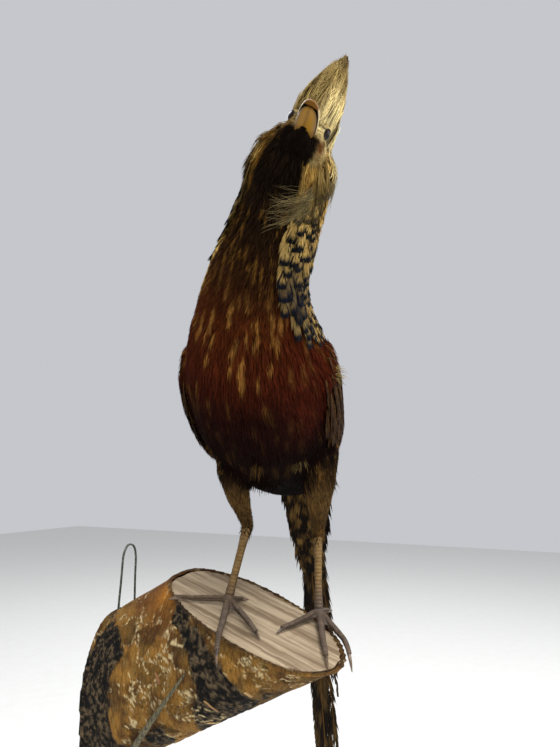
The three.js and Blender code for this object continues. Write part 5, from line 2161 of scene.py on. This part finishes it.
        mesh.from_pydata([tuple(np.minimum(p, [1e9, -0.3, 1e9]) * MM) for p in verts], [], faces)
        mesh.update()
        mesh.polygons.foreach_set("use_smooth", np.ones(len(mesh.polygons), bool))
        paint(mesh, np.array(tints))
        piece = new_object("bark_peels", mesh, TintedFinish("bark_peel", 0.6, grain=1.0).material())
        outward(piece)
        return piece


@dataclass
class Trimmings:
    """The hanging loop with its staples, and the dry stem."""

    def staples(self) -> None:
        """Gives the staples their finish."""
        material = WireFinish().material()
        for name in ("hanger_staple_left", "hanger_staple_right"):
            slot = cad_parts[name].material_slots[0]
            slot.link, slot.material = "OBJECT", material

    def loop(self) -> bpy.types.Object:
        """The hanging loop, smoothed."""
        piece = merged(["hanger_wire"], "wire_loop")
        apply(piece, "SUBSURF", levels=2, render_levels=2)
        bpy.ops.object.shade_smooth()
        piece.data.materials.append(WireFinish().material())
        return piece

    def stem(self) -> bpy.types.Object:
        """The stem, smoothed."""
        piece = merged(["dry_stem"], "dry_stem_skin")
        apply(piece, "SUBSURF", levels=2, render_levels=2)
        bpy.ops.object.shade_smooth()
        piece.data.materials.append(StemFinish().material())
        return piece


# ------------------------------------------------------------------ studio


@dataclass
class Studio:
    """Floor, lights, world and camera."""

    floor: float = -0.305
    eye: tuple[float, float, float] = (-0.471, -0.400, 0.212)
    look: tuple[float, float, float] = (0.894, 0.404, 0.196)
    roll: float = 0.35
    lens: float = 25.3

    def build(self) -> None:
        """Sets the stage."""
        bpy.ops.object.select_all(action="DESELECT")
        bpy.ops.mesh.primitive_plane_add(size=8, location=(0, 0, self.floor))
        floor = bpy.context.view_layer.objects.active
        floor.name = "studio_floor"
        board = Board("pale_floor")
        grain = board.noise(board.place(), 30, 3)
        colour = board.mix(grain, linear("dcdcd8"), linear("e4e4e1"))
        floor.data.materials.append(board.finish(colour, 0.8))
        for name, spot, power, size in (
            ("key", (-0.9, -1.0, 2.0), 58, 1.1),
            ("front", (-2.2, -1.2, 0.8), 16, 1.6),
            ("fill", (0.6, -2.0, 0.8), 14, 1.6),
            ("rim", (1.2, 0.5, 1.9), 18, 1.0),
        ):
            light = bpy.data.lights.new(name, "AREA")
            light.energy, light.size = power, size
            lamp = bpy.data.objects.new(name, light)
            bpy.context.scene.collection.objects.link(lamp)
            lamp.location = spot
            aim = Vector((-0.03, -0.17, 0.15)) - Vector(spot)
            lamp.rotation_euler = aim.to_track_quat("-Z", "Y").to_euler()
        world = bpy.data.worlds.new("studio")
        world.use_nodes = True
        back = world.node_tree.nodes["Background"]
        back.inputs["Color"].default_value = (0.93, 0.95, 1.0, 1)
        back.inputs["Strength"].default_value = 0.6
        bpy.context.scene.world = world
        camera = bpy.data.cameras.new("camera")
        camera.lens, camera.sensor_width, camera.sensor_fit = self.lens, 36, "AUTO"
        seat = bpy.data.objects.new("camera", camera)
        bpy.context.scene.collection.objects.link(seat)
        turn = Vector(self.look).to_track_quat("-Z", "Y").to_matrix().to_4x4()
        roll = Matrix.Rotation(math.radians(self.roll), 4, "Z")
        seat.matrix_world = Matrix.Translation(self.eye) @ turn @ roll
        camera.clip_start = 0.01
        bpy.context.scene.camera = seat
        bpy.context.scene.view_settings.view_transform = "Standard"


# ------------------------------------------------------------------ assembly

PELTS = (
    Pelt(Region.TRUNK, 0.37, 22, 0.25, 0.6, 3.3, 1.6, rings=5, swing=5, name="breast_coat"),
    Pelt(Region.NECK, 0.8, 12, 0.25, 0.5, 3.0, 1.8, swing=7, name="neck_coat"),
    Pelt(Region.HEAD, 2.9, 6.5, 0.3, 0.26, 0.7, 0.7, swing=7, keep=off_the_eyes, name="face_coat"),
    Pelt(Region.CREST, 1.3, 30, 0.3, 0.4, 2.8, 3.4, rings=5, swing=6, name="crest_coat"),
    Pelt(Region.CAPE, 0.15, 12, 0.2, 0.8, 1.6, 0.8, name="under_cape"),
    Pelt(Region.WING, 0.1, 12, 0.2, 0.9, 1.6, 0.8, name="under_wing"),
    Pelt(Region.THIGH, 0.75, 12, 0.3, 0.5, 2.4, 2.2, swing=9, name="thigh_coat"),
)
SLOTS = {
    Region.TRUNK: "breast_feathers",
    Region.NECK: "neck_feathers",
    Region.HEAD: "face_feathers",
    Region.CREST: "crest_feathers",
    Region.CAPE: "cape_feathers",
    Region.WING: "wing_feathers",
    Region.THIGH: "thigh_feathers",
}
FLESH = [name for region in REGIONS for name in region.value.split()]
WISP_FACES = 190_000


def coat_pieces(coat: Coat) -> None:
    """Grows every pelt, split into pieces of a size that keeps its faces."""
    for pelt in PELTS:
        grown = coat.grow(pelt)
        count = len(grown.rings[0])
        each = 4 + 6 * (pelt.rings - 2)
        parts = math.ceil(count * each / WISP_FACES)
        order = coat.rng.permutation(count)
        for i, pick in enumerate(np.array_split(order, parts)):
            share = Wisps()
            share.add(*(table[0][pick] for table in
                        (grown.rings, grown.ups, grown.widths, grown.tints, grown.seeds)))
            name = pelt.name if parts == 1 else f"{pelt.name}_{i + 1}"
            material = TintedFinish(name, 0.65, gloss=0.03).material()
            dress(new_object(name, share.mesh(name), material), SLOTS[pelt.region])


def main() -> None:
    """Builds the bird and its mount, piece by piece."""
    Studio().build()
    skin = Skin()
    dress(skin.build(), "breast_feathers", *FLESH)
    coat_pieces(Coat(skin))
    dress(Tufts(skin).build(), "breast_feathers")
    cape, tail, legs, log = Cape(), Tail(), Legs(), BirchLog()
    dress(cape.build(), "cape_feathers")
    dress(cape.build_mantle(), "cape_feathers")
    for side in (1, -1):
        dress(Wings().build(side), "wing_feathers")
    tail_nodes = ["tail_centre"] + [f"tail_{side}_{i}" for side in ("left", "right") for i in (1, 2, 3)]
    dress(tail.build(), "tail_feathers", *tail_nodes)
    dress(tail.coverts(), "tail_feathers", "tail_coverts_upper", "tail_coverts_under")
    bill = Bill()
    dress(bill.upper(), "bill", "bill_upper")
    dress(bill.lower(), "bill", "bill_lower")
    for side, name in ((1, "left"), (-1, "right")):
        eye = Eye(side)
        dress(eye.ball(), "eye", f"eye_{name}")
        dress(eye.lid(), "face_feathers")
    dress(legs.scales(), "leg")
    dress(legs.claws(), "claw", *[f"claw_{name}" for name in legs.toes])
    dress(log.wood(), "wood", "log_wood")
    dress(log.bark(), "bark", "log_bark")
    dress(log.peels(), "bark")
    trim = Trimmings()
    trim.staples()
    dress(trim.loop(), "wire", "hanger_wire")
    dress(trim.stem(), "stem", "dry_stem")


if __name__ == "__main__":
    logging.basicConfig(level=logging.INFO, format="%(message)s")
    main()
